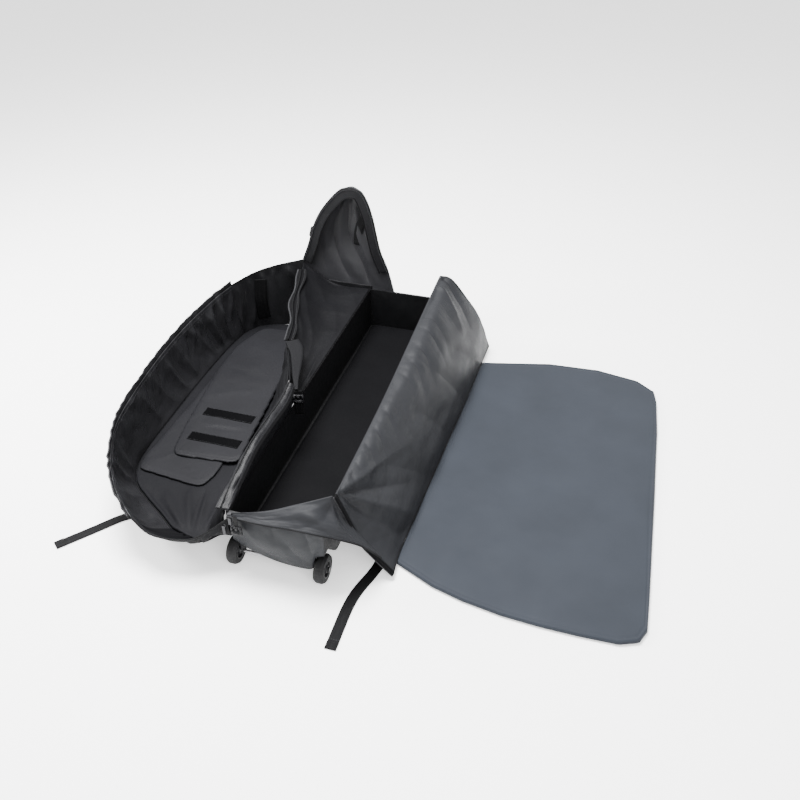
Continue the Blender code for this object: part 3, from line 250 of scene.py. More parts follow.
def even(line, steps):
    """The line as steps + 1 points at even distances; columns past the third follow along."""
    run = distances(line[:, :3])
    want = np.linspace(0, run[-1], steps + 1)
    return np.stack([np.interp(want, run, line[:, k]) for k in range(line.shape[1])], axis=1)


def loft(edges, along, across):
    """A grid of points through the edge curves: rows go along them, columns across."""
    curves = [curve(edge, along) for edge in edges]
    return np.array([curve([c[i] for c in curves], across) for i in range(along + 1)])


def middle(first, second, push=(0, 0, 0)):
    """The middle line between two edges, pushed out."""
    return (np.array(first) + np.array(second)) / 2 + np.array(push)


def unit(rows):
    return rows / np.maximum(np.linalg.norm(rows, axis=-1, keepdims=True), 1e-9)


def grid_normals(grid):
    return unit(np.cross(np.gradient(grid, axis=0), np.gradient(grid, axis=1)))


def grid_size(grid):
    """The grid's mean length along its rows and across them."""
    along = np.linalg.norm(np.diff(grid, axis=0), axis=2).sum(0).mean()
    across = np.linalg.norm(np.diff(grid, axis=1), axis=2).sum(1).mean()
    return along, across


def ease(x):
    x = np.clip(x, 0, 1)
    return x * x * (3 - 2 * x)


def wander(u, v, width, height, seed, octaves=3):
    """Soft noise from -1 to 1 over a sheet, with swells of the given width and height."""
    out = np.empty(u.shape)
    flat = out.ravel()
    for index, (a, b) in enumerate(zip(u.ravel() / width, v.ravel() / height)):
        flat[index] = noise.fractal(Vector((a, b, seed * 7.31)), 1.0, 2.0, octaves)
    return out


class Drape:
    """Folds over a grid of points, in metres, pushed out along its normals."""

    def __init__(self, grid):
        self.grid = grid
        self.along, self.across = grid_size(grid)
        self.u, self.v = np.meshgrid(np.linspace(0, self.along, grid.shape[0]),
                                     np.linspace(0, self.across, grid.shape[1]), indexing="ij")
        self.height = np.zeros(self.u.shape)

    def swells(self, depth, width, height, seed):
        """Broad uneven swells."""
        self.height += depth * wander(self.u, self.v, width, height, seed)
        return self

    def gathers(self, pitch, depth, seed, lean=0.0, low=(0.0, 0.0), high=(1.0, 1.0), turned=False,
                start=(0.0, 0.0), end=(1.0, 1.0)):
        """Irregular folds with crisp crests that run across the sheet, or along it if turned.

        They fade in and out between pairs of shares across it, and of shares along it.
        """
        u, v = (self.v, self.u) if turned else (self.u, self.v)
        phase = (u + lean * v) / pitch + 0.8 * wander(u, v, pitch * 3, pitch * 5, seed, 2)
        crest = 1 - np.abs(2 * (phase - np.floor(phase)) - 1)
        strength = np.clip(0.6 + 0.9 * wander(u, v, pitch * 3, pitch * 4, seed + 0.5, 2), 0.05, 1.4)
        part = depth * strength * (crest ** 1.5 - 0.4)
        for place, (first, last) in ((self.v / self.across, low), (self.u / self.along, start)):
            part = part * (ease((place - first) / (last - first)) if last > first else 1)
        for place, (first, last) in ((self.v / self.across, high), (self.u / self.along, end)):
            part = part * (ease((last - place) / (last - first)) if last > first else 1)
        self.height += part
        return self

    def folds(self, *folds):
        """Single folds: start and end in percent, widths and heights at both in tenths of a mm."""
        for fold in folds:
            u0, v0, u1, v1 = np.array(fold[:4]) / 100
            w0, w1, h0, h1 = np.array(fold[4:]) / 1e4
            a = np.array((u0 * self.along, v0 * self.across))
            d = np.array((u1 * self.along, v1 * self.across)) - a
            t = np.clip(((self.u - a[0]) * d[0] + (self.v - a[1]) * d[1]) / (d @ d), 0, 1)
            far = np.hypot(self.u - a[0] - t * d[0], self.v - a[1] - t * d[1])
            near = np.exp(-(np.abs(far) / (w0 + (w1 - w0) * t)) ** 1.5)
            self.height += (h0 + (h1 - h0) * t) * near
        return self

    def limit(self, least, most):
        """Keep the folds between two heights."""
        self.height = np.clip(self.height, least, most)
        return self

    def shape(self, start=0.0, end=0.0, low=0.0, high=0.0):
        """The folded grid; the folds fade out towards the edges that are held."""
        height, u, v = self.height, self.u, self.v
        for far, reach in ((u, start), (self.along - u, end), (v, low), (self.across - v, high)):
            if reach:
                height = height * ease(far / reach)
        return self.grid + grid_normals(self.grid) * height[..., None]


# Pieces


def show(name, data):
    """A new object in the scene."""
    thing = bpy.data.objects.new(name, data)
    bpy.context.scene.collection.objects.link(thing)
    return thing


def new_object(name, verts, faces, look, uvs=None, smooth=True):
    mesh = bpy.data.meshes.new(name)
    mesh.from_pydata([tuple(p) for p in verts], [], faces)
    mesh.update()
    piece = show(name, mesh)
    mesh.materials.append(LOOKS[look])
    if uvs is not None:
        set_uvs(mesh, uvs)
    if smooth:
        mesh.shade_smooth()
    return piece


def set_uvs(mesh, places):
    """Texture places in metres, one for each vertex."""
    layer = mesh.uv_layers.new(name="UVMap")
    ids = np.empty(len(mesh.loops), int)
    mesh.loops.foreach_get("vertex_index", ids)
    layer.data.foreach_set("uv", np.array(places, np.float32)[ids].ravel())


def settle(piece, body, node=None):
    """Give a finished piece its body, or for a blend of two bodies only bake its place into its mesh, and
    hide the CAD node it stands for.
    """
    if isinstance(body, str):
        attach(piece, body)
    else:
        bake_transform(piece)
    if node:
        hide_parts(node)
    return piece


def bake(piece):
    """Apply the piece's modifiers, so that its mesh is final."""
    graph = bpy.context.evaluated_depsgraph_get()
    mesh = bpy.data.meshes.new_from_object(piece.evaluated_get(graph))
    mesh.name = piece.name
    piece.modifiers.clear()
    piece.data = mesh
    return piece


def quads(rows, columns, closed=False):
    """The faces between rows of points, which may be closed rings."""
    faces = []
    for k in range(rows - 1):
        for m in range(columns if closed else columns - 1):
            a, b = k * columns + m, k * columns + (m + 1) % columns
            faces.append((a, b, b + columns, a + columns))
    return faces


def cloth(name, grid, thick, look, body, node):
    """A sheet of cloth from a grid of points, as thick as given, with texture places in metres.
    """
    sheet = Drape(grid)
    uvs = np.stack([sheet.v.ravel(), sheet.u.ravel()], axis=1)
    piece = new_object(name, grid.reshape(-1, 3), quads(*grid.shape[:2]), look, uvs)
    wall = piece.modifiers.new("cloth", "SOLIDIFY")
    wall.thickness = thick
    wall.offset = 0.0
    settle(bake(piece), body, node)


def frames(path, side=None):
    """Directions beside and above each point of a path."""
    ahead = unit(np.gradient(path, axis=0))
    if side is None:
        seed = UP if abs(ahead[0][2]) < 0.9 else np.array([1.0, 0, 0])
        side = [np.cross(ahead[0], seed)]
        for a in ahead[1:]:
            side.append(side[-1] - a * np.dot(side[-1], a))
    side = np.array(side, float)
    side = unit(side - ahead * (side * ahead).sum(1)[:, None])
    return side, np.cross(ahead, side)


def sweep(name, path, section, look, side=None, scale=None):
    """A tube or strip: a closed section (beside, above) carried along a path."""
    beside, above = frames(path, side)
    scale = np.ones((len(path), 2)) if scale is None else scale
    run, around = distances(path), distances(section)
    count = len(section)
    verts, uvs = [], []
    for k, point in enumerate(path):
        for m, (a, b) in enumerate(section):
            verts.append(point + beside[k] * a * scale[k][0] + above[k] * b * scale[k][1])
            uvs.append((around[m], run[k]))
    faces = quads(len(path), count, closed=True)
    faces.append(tuple(reversed(range(count))))
    faces.append(tuple((len(path) - 1) * count + m for m in range(count)))
    return new_object(name, verts, faces, look, uvs)


def oval(width, height, sides):
    angle = np.linspace(0, 2 * math.pi, sides, endpoint=False)
    return np.stack([np.cos(angle) * width / 2, np.sin(angle) * height / 2], axis=1)


def strip_section(width, thick):
    """The outline of flat webbing: flat faces, rounded selvedges."""
    w, t = width / 2, thick / 2
    e = min(t, w / 3)
    top = [(w, 0), (w - e, t), (w * 0.5, t), (0, t), (-w * 0.5, t), (-w + e, t)]
    return top + [(-a, -b) for a, b in top]


def strap(name, path, turns, width, thick, body, node, look="webbing",
          scale=None):
    """A flat strap along a path, its width along one turn direction or one for each point."""
    piece = sweep(name, path, strip_section(width, thick), look, turns, scale)
    settle(piece, body, node)


def piping(name, path, thick, body="bag_base", look="binding"):
    """Binding or piping along an edge."""
    settle(sweep(name, path, oval(thick, thick, 8), look), body)


BLOCK = [(a, b, c) for c in (-1, 1) for a, b in ((-1, -1), (1, -1), (1, 1), (-1, 1))]
BLOCK_FACES = ((0, 3, 2, 1), (4, 5, 6, 7), (0, 1, 5, 4), (1, 2, 6, 5), (2, 3, 7, 6), (3, 0, 4, 7))


def beads(name, path, turns, body, look, pitch, width, length, rise):
    """A row of small tapered blocks along a path: zip teeth or stitches."""
    row = even(np.hstack([path, path * 0 + turns]), max(2, int(run_length(path) / pitch)))
    spots = row[:, :3]
    beside, above = frames(spots, row[:, 3:])
    ahead = np.cross(beside, above)
    verts, faces = [], []
    for k, spot in enumerate(spots):
        base = len(verts)
        for a, b, c in BLOCK:
            shrink = 0.7 if c > 0 else 1.0
            verts.append(spot + beside[k] * a * width / 2 * shrink + ahead[k] * b * length / 2 * shrink
                         + above[k] * c * rise / 2)
        faces.extend(tuple(base + i for i in f) for f in BLOCK_FACES)
    piece = new_object(name, verts, faces, look, [(0, 0)] * len(verts), smooth=False)
    settle(piece, body)


def teeth(name, path, turns, body="bag_base"):
    """One row of zip teeth."""
    beads(name, path, turns, body, "teeth", pitch=0.003, width=0.0045, length=0.0018, rise=0.0024)


def stitches(name, path, turns, body="bag_base"):
    """A row of stitches that lies on the cloth."""
    beads(name, path, turns, body, "thread", pitch=0.005, width=0.0008, length=0.0036, rise=0.0009)


def seam(name, grid, where, lift, body="bag_base"):
    """Stitches along one row or column of a cloth's grid, raised off its face."""
    line = (grid + grid_normals(grid) * lift)[where]
    stitches(name, line, np.cross(np.gradient(line, axis=0), grid_normals(grid)[where]), body)


# Padded panels


def rounded(corners, radius, steps=6):
    """A closed outline whose corners are rounded."""
    p = np.array(corners, float)[:, :2]
    out = []
    for i in range(len(p)):
        a, c = p[i - 1] - p[i], p[(i + 1) % len(p)] - p[i]
        reach = min(radius, 0.45 * np.linalg.norm(a), 0.45 * np.linalg.norm(c))
        s, e = p[i] + unit(a) * reach, p[i] + unit(c) * reach
        for t in np.linspace(0, 1, steps + 1):
            out.append((s + (p[i] - s) * t) * (1 - t) + (p[i] + (e - p[i]) * t) * t)
    return np.array(out)


def closed_line(outline, count):
    """The closed outline as even points."""
    return even(np.vstack([outline, outline[:1]]), count)[:-1]


def fold_lines(x, y, folds):
    """Heights of folds on a floor plan: start, end, width and height in metres."""
    total = np.zeros(x.shape)
    for x0, y0, x1, y1, width, height in folds:
        dx, dy = x1 - x0, y1 - y0
        t = np.clip(((x - x0) * dx + (y - y0) * dy) / (dx * dx + dy * dy), 0, 1)
        far = np.hypot(x - x0 - t * dx, y - y0 - t * dy)
        total += height * np.sin(math.pi * t) ** 0.5 * np.exp(-(far / width) ** 1.5)
    return total


# A pad's outer rings by their distance from the rim, the pitch of the rest, and its sewn groove
RING_STEPS = (0, 0.0015, 0.004, 0.007, 0.01, 0.013, 0.017, 0.022, 0.028, 0.036)
RING_PITCH = 0.012
GROOVE_DEPTH, GROOVE_WIDTH = 0.0016, 0.0022
SOFT_REACH = 0.03
PUFF_FRAMES = 20


def pad(name, outline, base, thick, look, body, node, seed, swell, edge=0.007, seam=0.011,
        swell_size=0.1, folds=(), count=260, puff=None):
    """A stuffed panel: flat underneath, rounded at its edge, sewn round and crowned on top."""
    rim = closed_line(outline, count)
    centre = rim.mean(0)
    spoke = centre - rim
    reach = np.linalg.norm(spoke, axis=1, keepdims=True)
    rings = [rim + spoke / reach * step for step in RING_STEPS]
    more = int(reach.mean() / RING_PITCH)
    inmost = rings[-1]
    for k in range(1, more):
        rings.append(inmost + spoke / reach * (reach - RING_STEPS[-1]) * (k / more))
    verts, uvs, faces = [], [], []
    for ring in rings:
        far = reach[:, 0] - np.linalg.norm(ring - centre, axis=1)
        turn = np.sqrt(np.clip(1 - (1 - np.clip(far / edge, 0, 1)) ** 2, 0, 1))
        height = thick * (0.5 + 0.5 * turn) - GROOVE_DEPTH * np.exp(-((far - seam) / GROOVE_WIDTH) ** 2)
        soft = ease(far / SOFT_REACH)
        height += swell * soft * wander(ring[:, 0], ring[:, 1], swell_size, swell_size, seed)
        height += soft * fold_lines(ring[:, 0], ring[:, 1], folds)
        for place, z in zip(ring, height):
            verts.append((place[0], place[1], base + max(z, 0.001)))
    verts.append((centre[0], centre[1], base + height.mean()))
    for ring, z in ((rings[0], 0.35 * thick), (rings[2], 0.0)):
        for place in ring:
            verts.append((place[0], place[1], base + z))
    hub = len(rings) * count
    low = hub + 1
    for m in range(count):
        n = (m + 1) % count
        for k in range(len(rings) - 1):
            faces.append((k * count + m, k * count + n, (k + 1) * count + n, (k + 1) * count + m))
        faces.append((hub - count + m, hub - count + n, hub))
        faces.append((low + m, low + n, n, m))
        faces.append((low + count + m, low + count + n, low + n, low + m))
    faces.append(tuple(reversed(range(low + count, low + 2 * count))))
    piece = new_object(name, verts, faces, look)
    face_out(piece)
    if puff:
        plump(piece, base, *puff)
    set_uvs(piece.data, [v.co.xy for v in piece.data.vertices])
    settle(piece, body, node)


def face_out(piece):
    shape = bmesh.new()
    shape.from_mesh(piece.data)
    bmesh.ops.recalc_face_normals(shape, faces=shape.faces)
    shape.to_mesh(piece.data)
    shape.free()


def plump(piece, base, voxel, pressure, cap):
    """Let the cover's cloth fill out and wrinkle in a short simulation, then keep its shape."""
    regular = piece.modifiers.new("even", "REMESH")
    regular.mode = "VOXEL"
    regular.voxel_size = voxel
    bake(piece)
    start = np.array([v.co[:] for v in piece.data.vertices])
    cover = piece.modifiers.new("cover", "CLOTH")
    for key, value in {
            "quality": 4, "mass": 0.3, "tension_stiffness": 30, "compression_stiffness": 30,
            "bending_stiffness": 0.3, "use_pressure": True, "uniform_pressure_force": pressure,
            "shrink_min": -0.03}.items():
        setattr(cover.settings, key, value)
    cover.settings.effector_weights.gravity = 0
    cover.point_cache.frame_end = PUFF_FRAMES
    for step in range(1, PUFF_FRAMES + 1):
        bpy.context.scene.frame_set(step)
    bake(piece)
    bpy.context.scene.frame_set(1)
    end = np.array([v.co[:] for v in piece.data.vertices])
    move = end - start
    far = np.linalg.norm(move, axis=1, keepdims=True)
    end = start + move * np.minimum(1, cap / np.maximum(far, 1e-9))
    end[:, 2] = np.maximum(end[:, 2], base)
    for vertex, place in zip(piece.data.vertices, end):
        vertex.co = place
    finer = piece.modifiers.new("finer", "SUBSURF")
    finer.levels = finer.render_levels = 1
    bake(piece)
    piece.data.shade_smooth()
    while piece.data.uv_layers:
        piece.data.uv_layers.remove(piece.data.uv_layers[0])


# Camera, light and floor


def look_along(thing, direction):
    thing.rotation_mode = "QUATERNION"
    thing.rotation_quaternion = direction.to_track_quat("-Z", "Y")


SENSOR = 36.0
FOCAL_PIXELS, PICTURE_PIXELS = 831.975, 800.0


def build_camera():
    """The photograph's view: its place, its two angles and its lens."""
    azimuth, elevation = math.radians(16.369), math.radians(36.652)
    lens = bpy.data.cameras.new("camera")
    lens.sensor_width = SENSOR
    lens.lens = SENSOR * FOCAL_PIXELS / PICTURE_PIXELS
    lens.clip_start, lens.clip_end = 0.05, 60.0
    camera = show("camera", lens)
    camera.location = (0.727, -1.943, 1.674)
    level = math.cos(elevation)
    aim = (-math.sin(azimuth) * level, math.cos(azimuth) * level, -math.sin(elevation))
    look_along(camera, Vector(aim))
    bpy.context.scene.camera = camera


def area_light(name, place, aim, size, power):
    data = bpy.data.lights.new(name, "AREA")
    data.shape, data.size, data.energy = "DISK", size, power
    lamp = show(name, data)
    lamp.location = place
    look_along(lamp, Vector(aim) - Vector(place))


def build_studio():
    """Soft white light from all round, one lamp above, two at the sides and a pale floor."""
    world = bpy.data.worlds.new("studio")
    bpy.context.scene.world = world
    world.use_nodes = True
    sky = world.node_tree.nodes["Background"].inputs
    sky["Color"].default_value = WHITE
    sky["Strength"].default_value = 1.5
    area_light("key", (-0.5, 0.2, 3.2), (0.1, 0.0, 0.1), 1.8, 520.0)
    area_light("side", (-2.6, -0.4, 1.7), (0.0, 0.0, 0.1), 1.0, 130.0)
    area_light("fill", (2.2, -2.6, 2.4), (0.1, 0.0, 0.1), 2.0, 90.0)
    made = Nodes("studio_floor")
    made.dye(made.add("TexCoord").outputs["Object"], (0.93, 0.93, 0.93), 0.004, 0.6)
    made.shade(Roughness=0.7, Specular_IOR_Level=0.2, Emission_Color=WHITE, Emission_Strength=0.6)
    mesh = bpy.data.meshes.new("studio_floor")
    mesh.from_pydata([(-30, -30, 0), (30, -30, 0), (30, 30, 0), (-30, 30, 0)], [], [(0, 1, 2, 3)])
    mesh.materials.append(made.material)
    floor = show("studio_floor", mesh)


# Rigid pieces that keep their CAD shape

KEEP = {
    "tray": ("base_tray",),
    "rail": ("skid_rail_left", "skid_rail_centre", "skid_rail_right", "axle_bracket_left",
             "axle_bracket_right"),
    "rubber": ("tyre_left", "tyre_right"),
    "hub": ("wheel_hub_left", "wheel_hub_right"),
    "bush": ("wheel_bush_left", "wheel_bush_right"),
    "steel": ("wheel_axle",),
    "zinc": ("axle_cap_left", "axle_cap_right", "zip_slider_ridge", "zip_slider_rim", "zip_puller_ridge",
             "zip_puller_rim"),
}


def finish_rigid_pieces():
    """Materials for the CAD solids that stay."""
    for look, nodes in KEEP.items():
        for node in nodes:
            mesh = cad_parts[node].data
            mesh.materials.clear()
            mesh.materials.append(LOOKS[look])


def buckle(name, node, body, across, along):
    """A release buckle in the place of its CAD block: two side arms, tongue, bar and end frame."""
    low, high = (np.array(corner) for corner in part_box(node))
    centre = (low + high) / 2
    across, along = unit(across), unit(along)
    up = np.cross(across, along)
    spans = [abs(v) @ (high - low) for v in (across, along, up)]
    width, length, thick = spans[0] * 0.47, spans[1] * 0.5, min(spans[2], 0.009) * 0.5
    parts = (
        ((0, -0.55, 0), (0.95, 0.45, 0.85)), ((-0.78, 0.25, 0), (0.17, 0.62, 0.75)),
        ((0.78, 0.25, 0), (0.17, 0.62, 0.75)), ((0, 0.3, 0.05), (0.26, 0.5, 0.7)),
        ((0, 0.88, 0), (0.92, 0.11, 0.7)), ((0, -0.62, 0.95), (0.6, 0.1, 0.12)),
        ((0, -0.38, 0.95), (0.6, 0.06, 0.1)))
    shape = bmesh.new()
    for place, size in parts:
        corners = []
        for a, b, c in BLOCK:
            offset = (across * (place[0] + a * size[0]) * width + along * (place[1] + b * size[1]) * length
                      + up * (place[2] + c * size[2]) * thick)
            corners.append(shape.verts.new(centre + offset))
        faces = [shape.faces.new([corners[i] for i in f]) for f in BLOCK_FACES]
        edges = list({edge for face in faces for edge in face.edges})
        bmesh.ops.bevel(shape, geom=edges, offset=0.0009, segments=2, affect="EDGES")
    bmesh.ops.recalc_face_normals(shape, faces=shape.faces)
    mesh = bpy.data.meshes.new(name)
    shape.to_mesh(mesh)
    shape.free()
    mesh.materials.append(LOOKS["buckle"])
    mesh.shade_smooth()
    settle(show(name, mesh), body, node)


# Tray: cushion and end panels

NEAR_PANEL = tenths(
    ((-1161, -6048, 942), (-743, -6079, 737), (0, -6100, 523), (675, -6082, 450), (999, -6062, 505),
     (1080, -6055, 888), (1350, -6030, 1036)),
    ((-1188, -6075, 1387), (-743, -6169, 1258), (0, -6250, 1147), (675, -6200, 1110), (999, -6130, 1147),
     (1161, -6082, 1332), (1350, -6030, 1443)),
    ((-1188, -6030, 1794), (-743, -6030, 1813), (0, -6030, 1832), (675, -6030, 1832), (999, -6030, 1832),
     (1188, -6030, 1832), (1350, -6030, 1832)))
FAR_PANEL = tenths(*[
    [(x, y, z) for x, y in zip((-1242, -621, 0, 621, 1242), row)] for row, z in (
        ((6036, 6062, 6070, 6062, 6036), 444), ((6055, 6156, 6190, 6156, 6055), 1147), ((6030,) * 5, 1832))])


def build_tray_ends():
    """The pad on the tray's floor and the cloth of its two end walls."""
    cushion = rounded([(-0.124, -0.509), (0.124, -0.509), (0.124, 0.589), (-0.124, 0.589)], 0.02)
    pad("tray_floor_cushion", cushion, 0.0346, 0.0098, "cushion", "bag_base", "tray_floor_pad", 3, 0.0014,
        swell_size=0.12, count=200, puff=(0.006, 1.5, 0.003))
    near = Drape(loft(NEAR_PANEL, 96, 48))
    near.swells(0.003, 0.1, 0.07, 5)
    near.folds((62, 55, 70, 30, 160, 220, -60, -40), (80, 95, 84, 35, 50, 80, -30, -20),
               (12, 90, 30, 45, 100, 200, 30, 20), (45, 98, 50, 60, 60, 140, -20, -10))
    grid = near.shape(start=0.02, end=0.02, low=0.01, high=0.02)
    cloth("near_end_cloth", grid, 0.0045, "outer", "bag_base", "near_end_panel")
    piping("near_end_piping", grid[:, 0], 0.0045)
    seam("near_end_stitches", grid, np.s_[:, 4], -0.0028)
    far = Drape(loft(FAR_PANEL, 60, 34)).swells(0.003, 0.09, 0.06, 6).gathers(0.07, 0.003, 7)
    grid = far.shape(0.02, 0.02, 0.02, 0.02)
    cloth("far_end_cloth", grid, 0.0045, "outer", "bag_base", "far_end_panel")
    piping("far_end_piping", grid[:, 0], 0.0045)


# Left cover: floor, gusset, zip rim and flaps

FLOOR = tenths(
    (-2333, -5700), (-2890, -5623), (-3438, -5451), (-3989, -5050), (-4564, -4675), (-5124, -4284),
    (-5368, -4051), (-5553, -3769), (-5693, -3462), (-5777, -3134), (-5855, -2456), (-5901, -1085),
    (-5940, 287), (-5952, 1659), (-5932, 3031), (-5890, 3714), (-5802, 4394), (-5654, 4746), (-5461, 5055),
    (-5141, 5233), (-4794, 5371), (-3400, 5580))
GUSSET = tenths(
    ((-3450, -5478, 51), (-4038, -5052, 51), (-4800, -4548, 51), (-5442, -4002, 51), (-5832, -3000, 51),
     (-5940, -798, 51), (-5982, 1302, 51), (-5952, 3300, 51), (-5832, 4398, 51)),
    ((-3722, -6090, 613), (-4337, -5642, 726), (-4864, -5179, 793), (-5340, -4629, 847),
     (-5843, -3378, 928), (-6155, -927, 928), (-6265, 1302, 928), (-6141, 3236, 973), (-5926, 4273, 1027)),
    ((-3882, -6450, 1300), (-4512, -5988, 1550), (-4902, -5550, 1700), (-5280, -4998, 1820),
     (-5850, -3600, 2000), (-6282, -1002, 2000), (-6432, 1302, 2000), (-6252, 3198, 2100),
     (-5982, 4200, 2220)))
LOWER_FLAP = tenths(
    (-3360, -3840), (-5580, -3600), (-5670, -3120), (-5610, 0), (-5610, 2880), (-3600, 2880),
    (-3180, -3120))
UPPER_FLAP = tenths(
    (-2742, -2628), (-4890, -2820), (-5172, -1458), (-5568, 1632), (-5592, 3360), (-5160, 4740),
    (-3840, 4800), (-3480, 3720), (-3222, 2142))
HOOKS = (("near", -0.475, -0.305, -0.186), ("far", -0.4858, -0.3158, -0.06))
NEAR_WEB = tenths(
    ((-3443, -5485, 60), (-2898, -5652, 40), (-2352, -5730, 140), (-1650, -5900, 800),
     (-1190, -6095, 1120)),
    ((-3875, -6459, 1300), (-3120, -6762, 1200), (-2202, -6678, 1200), (-1720, -6420, 1340),
     (-1180, -6135, 1740)))
NEAR_BLEND = ("bag_base", "left_shell", (-0.15, -0.6, 0), (-0.36, -0.6, 0))
FAR_WEB = tenths(
    ((-5828, 4409, 60), (-5490, 5070, 60), (-4800, 5400, 60), (-3860, 6000, 60)),
    ((-5980, 4213, 2240), (-5448, 4998, 2380), (-4740, 5418, 2580), (-3860, 6020, 2660)))
FAR_BLEND = ("bag_base", "left_shell", (-0.4, 0.6, 0), (-0.58, 0.44, 0))
FOLD_BLEND = ("bag_base", "left_shell", (0, 0, 0.11), (0, 0, 0.012))
FOLD_WEB = tenths(
    ((-1480, -6000, 980), (-2240, -5780, 260), (-2420, -5280, 60), (-2529, -4002, 60), (-2671, -2502, 60),
     (-2813, -1002, 60), (-2976, 720, 60), (-3113, 2172, 60), (-3295, 4092, 60), (-3432, 5550, 60)),
    ((-1366, -6060, 1760), (-1385, -5900, 1830), (-1500, -5600, 1960), (-1625, -4002, 2120),
     (-1635, -2502, 2120), (-1640, -1002, 2360), (-2358, 720, 2438), (-2784, 2172, 2438),
     (-3384, 4092, 2463), (-3870, 5550, 2500)))


# Folds of a pad: from x, y to x, y, how wide, how high
FLOOR_FOLDS = (
    (-0.31, -0.545, -0.43, -0.43, 0.008, 0.007), (-0.29, -0.545, -0.37, -0.4, 0.007, 0.007),
    (-0.27, -0.545, -0.31, -0.4, 0.007, 0.007), (-0.33, -0.54, -0.5, -0.42, 0.009, -0.005),
    (-0.25, -0.545, -0.26, -0.42, 0.007, 0.006), (-0.28, -0.545, -0.33, -0.38, 0.006, -0.005))
LOWER_FLAP_FOLDS = (
    (-0.55, -0.33, -0.4, -0.2, 0.012, 0.0018), (-0.36, -0.36, -0.48, -0.25, 0.01, -0.0012))
UPPER_FLAP_FOLDS = (
    (-0.5, -0.12, -0.31, -0.1, 0.01, 0.0018), (-0.5, -0.125, -0.32, -0.125, 0.007, -0.0015),
    (-0.53, 0.02, -0.36, 0.1, 0.02, 0.0016), (-0.54, 0.2, -0.37, 0.16, 0.018, -0.0014),
    (-0.55, 0.36, -0.38, 0.3, 0.022, 0.0016))
FLAP_PUFF = (0.005, 1.5, 0.0012)


def gusset_grid():
    """The left cover's side wall, with its folds and its foot."""
    sides = Drape(loft(GUSSET, 320, 44))
    sides.gathers(0.095, 0.018, 11, lean=0.25, low=(0.05, 0.35), high=(0.7, 1.0))
    sides.gathers(0.045, 0.005, 12, lean=-0.2, low=(0.35, 0.7), high=(0.9, 1.0))
    sides.gathers(0.06, 0.012, 14, low=(0.1, 0.4), high=(0.8, 1.0), start=(0.6, 0.85))
    sides.swells(0.004, 0.12, 0.1, 13)
    sides.limit(-0.004, 0.02)
    return add_foot(sides.shape(start=0.035, end=0.035, low=0.03, high=0.015))


def add_foot(grid, side=1, width=0.0215):
    """The cloth with a strip turned in under the shell's floor, on the given side."""
    crease = grid[:, 0]
    ahead = unit(np.gradient(crease, axis=0))
    reach = 0.0006 + width * np.clip((0.03 - crease[:, 2:]) / 0.02, 0, 1)
    inside = crease + np.cross(ahead, UP) * reach * side
    strips = [inside + (crease - inside) * share for share in (0, 0.3, 0.6, 0.85)]
    for strip in strips:
        strip[:, 2] = np.maximum(crease[:, 2] - 0.003, 0.0021)
    return np.concatenate([np.stack(strips, axis=1), grid], axis=1)


def build_left_cover():
    """The cover that lies open on the left: its floor, side wall, slack cloth and flaps."""
    pad("shell_floor_panel", np.array(FLOOR), 0.0032, 0.0098, "floor", "left_shell", "shell_floor", 8,
        0.0012, edge=0.004, seam=0.5, swell_size=0.14, count=320, folds=FLOOR_FOLDS)
    gusset = gusset_grid()
    cloth("shell_gusset_cloth", gusset, 0.0036, "gusset", "left_shell", "shell_gusset")
    build_rim(gusset)
    build_near_web(gusset)
    build_far_web(gusset)
    build_fold_web()
    build_flaps()


def build_rim(gusset):
    """The zip edge on the gusset: tape, piping, teeth, one stitched line and piping along the crease."""
    rim = gusset[:, -1]
    up = unit(gusset[:, -1] - gusset[:, -5])
    out = unit(np.cross(np.gradient(rim, axis=0), up))
    strap("shell_zip_edge", rim + up * 0.008, up, 0.015, 0.0036, "left_shell", "shell_zip_tape",
          look="band")
    piping("shell_rim_piping", rim + up * 0.0012 - out * 0.0022, 0.0042, "left_shell")
    teeth("shell_zip_teeth", rim + up * 0.0162, out, "left_shell")
    seam("shell_rim_stitches", gusset, np.s_[:, -4], 0.0022, "left_shell")
    piping("shell_crease_piping", gusset[:, 5] + UP * 0.002, 0.004, "left_shell")


# Columns of the gusset's grid: its crease at the floor, and halfway up
CREASE, HALFWAY = 4, 26


def web_edges(edges, end, shift=(0, 0, 0)):
    """The lower, middle and upper edge of a slack corner, which start at one end of the gusset."""
    low, high = (list(edge) for edge in edges)
    mid = middle(low, high, shift)
    low[0], mid[0], high[0] = end[CREASE], end[HALFWAY], end[-1]
    return [low, mid, high]


def build_near_web(gusset):
    """The slack corner between the shell's near end and the tray, pulled into creases."""
    web = Drape(loft(web_edges(NEAR_WEB, gusset[0], (0, -0.006, 0)), 110, 56))
    creases = []
    for foot, top, height in ((18, -5, 6), (22, 10, -5), (26, 22, 7), (30, 36, -6), (34, 48, 7),
                              (38, 62, -5), (42, 76, 6), (46, 90, -4), (60, 100, 4)):
        creases.append((foot, 0, top, 80, 60, 140, height * -14, height * -6))
    web.folds(*creases)
    web.limit(-0.01, 0.002)
    grid = add_foot(web.shape(start=0.02, end=0.02, low=0.004, high=0.03), -1)
    cloth("near_web_cloth", grid, PLY, "web", NEAR_BLEND, "near_gusset_web")
    piping("near_web_piping", grid[:, -1], 0.0045, NEAR_BLEND)
    seam("near_web_stitches", grid, np.s_[:, -4], -0.002, NEAR_BLEND)


